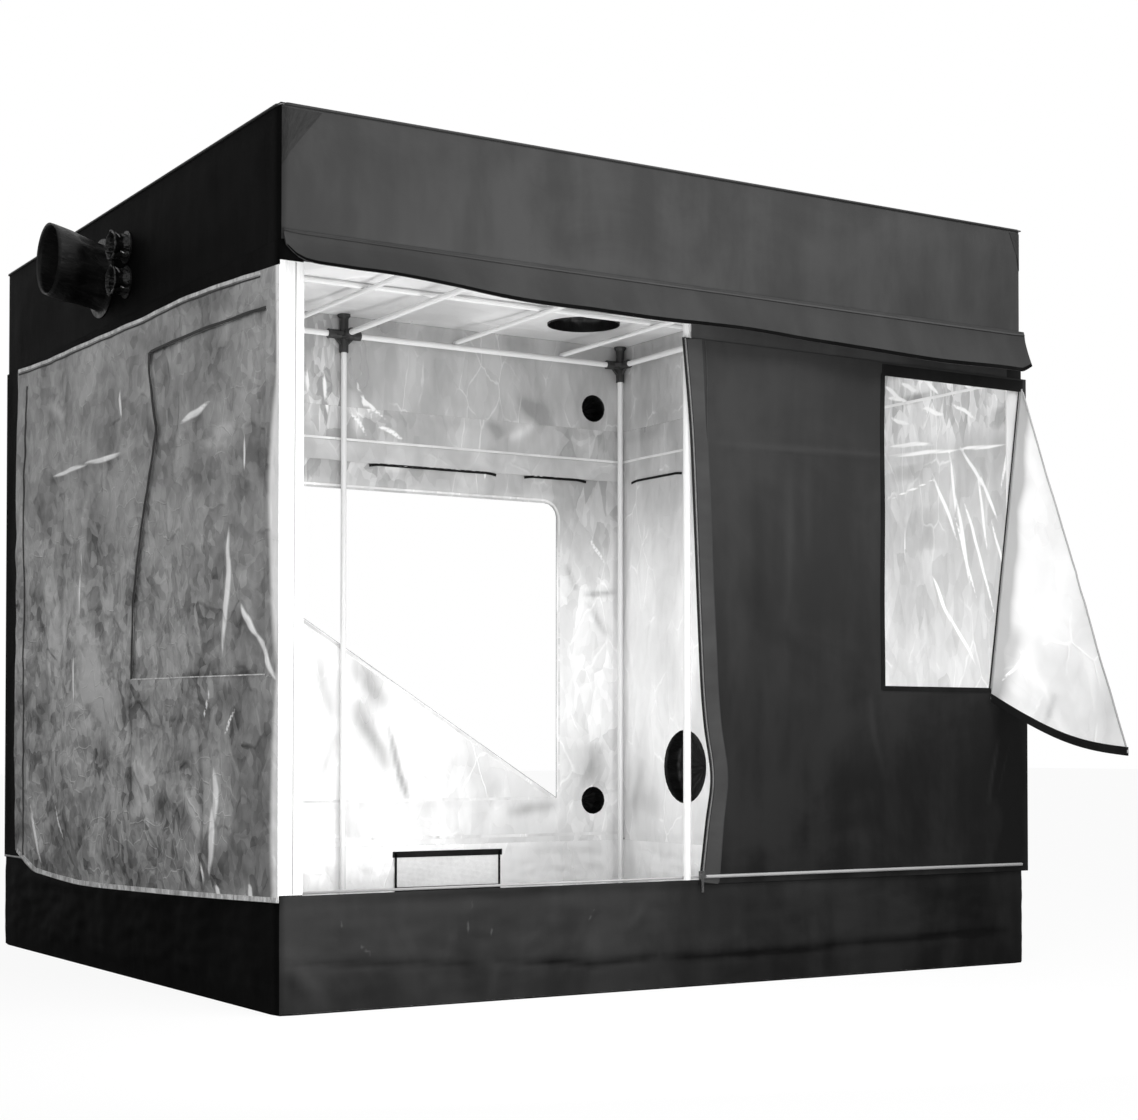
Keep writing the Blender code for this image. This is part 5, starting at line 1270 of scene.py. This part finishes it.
# The flap's lining is painted paler than the door's, as painted light where it faces the lamps, and darker
# along its fold, as painted shade.
flap_foil = silver_lining("lining_right_flap", 0.42, 1.0, (4, 3), 1.6, 0.05,
                          painted_light=lambda foil, across, up: foil.ease(across, 0.0, 0.05))
sail = Cloth("right_window_flap_cloth", (0, 0), (FLAP_WIDE, 1), (44, 90))
shape(sail, lambda across, up: (across * flap_share(up), up))
sail.press(FLAP_CREASES, FLAP_TONES)
sail.hang(flap_place, FLAP_NORMAL if FLAP_NORMAL.x < 0 else -FLAP_NORMAL)
sail = sail.make("right_window_flap", (flap_foil, door_dark), "silver_lining", ["right_window_flap"], 0.0025)
foot_hem = Cloth("right_flap_foot_hem", (0, -0.011), (FLAP_WIDE, 0.011), (30, 4))
foot_hem.hang(lambda along, up: flap_place(min(along, HEM_END), 0.004) + UP * up)
foot_hem = foot_hem.make("right_window_flap", (black_tape,), "cover_cloth", (), 0.0065)
edge_points = [flap_place(HEM_END * flap_share(1 - step / 60), 1 - step / 60) for step in range(61)]
edge_hem = rolled_edge("right_flap_edge_hem", "right_window_flap", edge_points, 0.0024, rolled_pale)
fold_points = [FLAP_HEAD.lerp(FLAP_FOOT, step / 20) for step in range(21)]
fold_roll = rolled_edge("right_flap_fold_roll", "right_window_flap", fold_points, 0.0022, rolled_pale)


# Rear flap: the unzipped half of the rear window's panel, folded down outside along the slant. It hangs
# in three loose folds, and its tip is tucked up clear of the floor.
REAR_OUT = 1.0043
REAR_HEAD, REAR_FOOT = Vector((-OPEN_X, REAR_OUT, OPEN_HIGH)), Vector((OPEN_X, REAR_OUT, OPEN_LOW))
REAR_AXIS = (REAR_FOOT - REAR_HEAD).normalized()
REAR_SPAN = (REAR_FOOT - REAR_HEAD).length
CUT_WIDE, CUT_DEEP = 1.94, 0.9
shut_corner = Vector((0.843, REAR_OUT, 1.448))
REAR_HUNG = 2 * (REAR_HEAD + REAR_AXIS * (shut_corner - REAR_HEAD).dot(REAR_AXIS)) - shut_corner
TIP_LOW = 0.020
TIP_LEFT, TIP_RIGHT = (start.lerp(REAR_HUNG, (start.z - TIP_LOW) / (start.z - REAR_HUNG.z))
                       for start in (REAR_HEAD, REAR_FOOT))


def rear_flap_place(across, down):
    """across runs along the fold line, and down from it to the tucked tip."""
    share, fall = across / CUT_WIDE, down / CUT_DEEP
    top = REAR_HEAD + REAR_AXIS * (0.004 + (REAR_SPAN - 0.008) * share)
    fold = 0.0125 * fall * math.sin(3 * math.pi * share) ** 2
    fold += 0.004 * fall * max(rumple(across, down, 0.12, 97), 0)
    return top.lerp(TIP_LEFT.lerp(TIP_RIGHT, share), fall) + NORTH * fold


rear_flap = Cloth("rear_flap_cloth", (0, 0), (CUT_WIDE, CUT_DEEP), (110, 60))
rear_flap.hang(rear_flap_place, NORTH)
rear_area = sum(face.calc_area() for face in rear_flap.mesh.faces)
rear_flap = rear_flap.make("rear_flap", (rear_foil, wall_dark), "cover_cloth", ["rear_flap"], 0.0025)
fold_points = [REAR_HEAD.lerp(REAR_FOOT, step / 20) for step in range(21)]
hem_points = [rear_flap_place(0.0, CUT_DEEP * step / 40) for step in range(41)]
hem_points += [rear_flap_place(CUT_WIDE * step / 20, CUT_DEEP) for step in range(21)]
hem_points += [rear_flap_place(CUT_WIDE, CUT_DEEP - CUT_DEEP * step / 40) for step in range(41)]
rear_roll = rolled_edge("rear_flap_fold_roll", "rear_flap", fold_points, 0.0035, rolled_dark)
rear_hem = rolled_edge("rear_flap_hem", "rear_flap", hem_points, 0.003, rolled_dark)


# Zip slider: a small cast slider at the foot of the open zip, with its pull tab hanging down, lacquered
# dark and worn bright in small spots.
zip_metal = Finish("zip_metal", Metallic=0.85)
nicks = zip_metal.cloud(None, 300, 3)
zip_metal.wear("Base Color", zip_metal.shades(zip_metal.ease(nicks, 0.5, 0.7), 0.05, 0.45))
zip_metal.wear("Roughness", nicks * 0.3 + 0.25)
zip_metal.bumps(nicks, 0.2, 0.0005)
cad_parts["door_zip_slider"].data.materials[0] = zip_metal.material
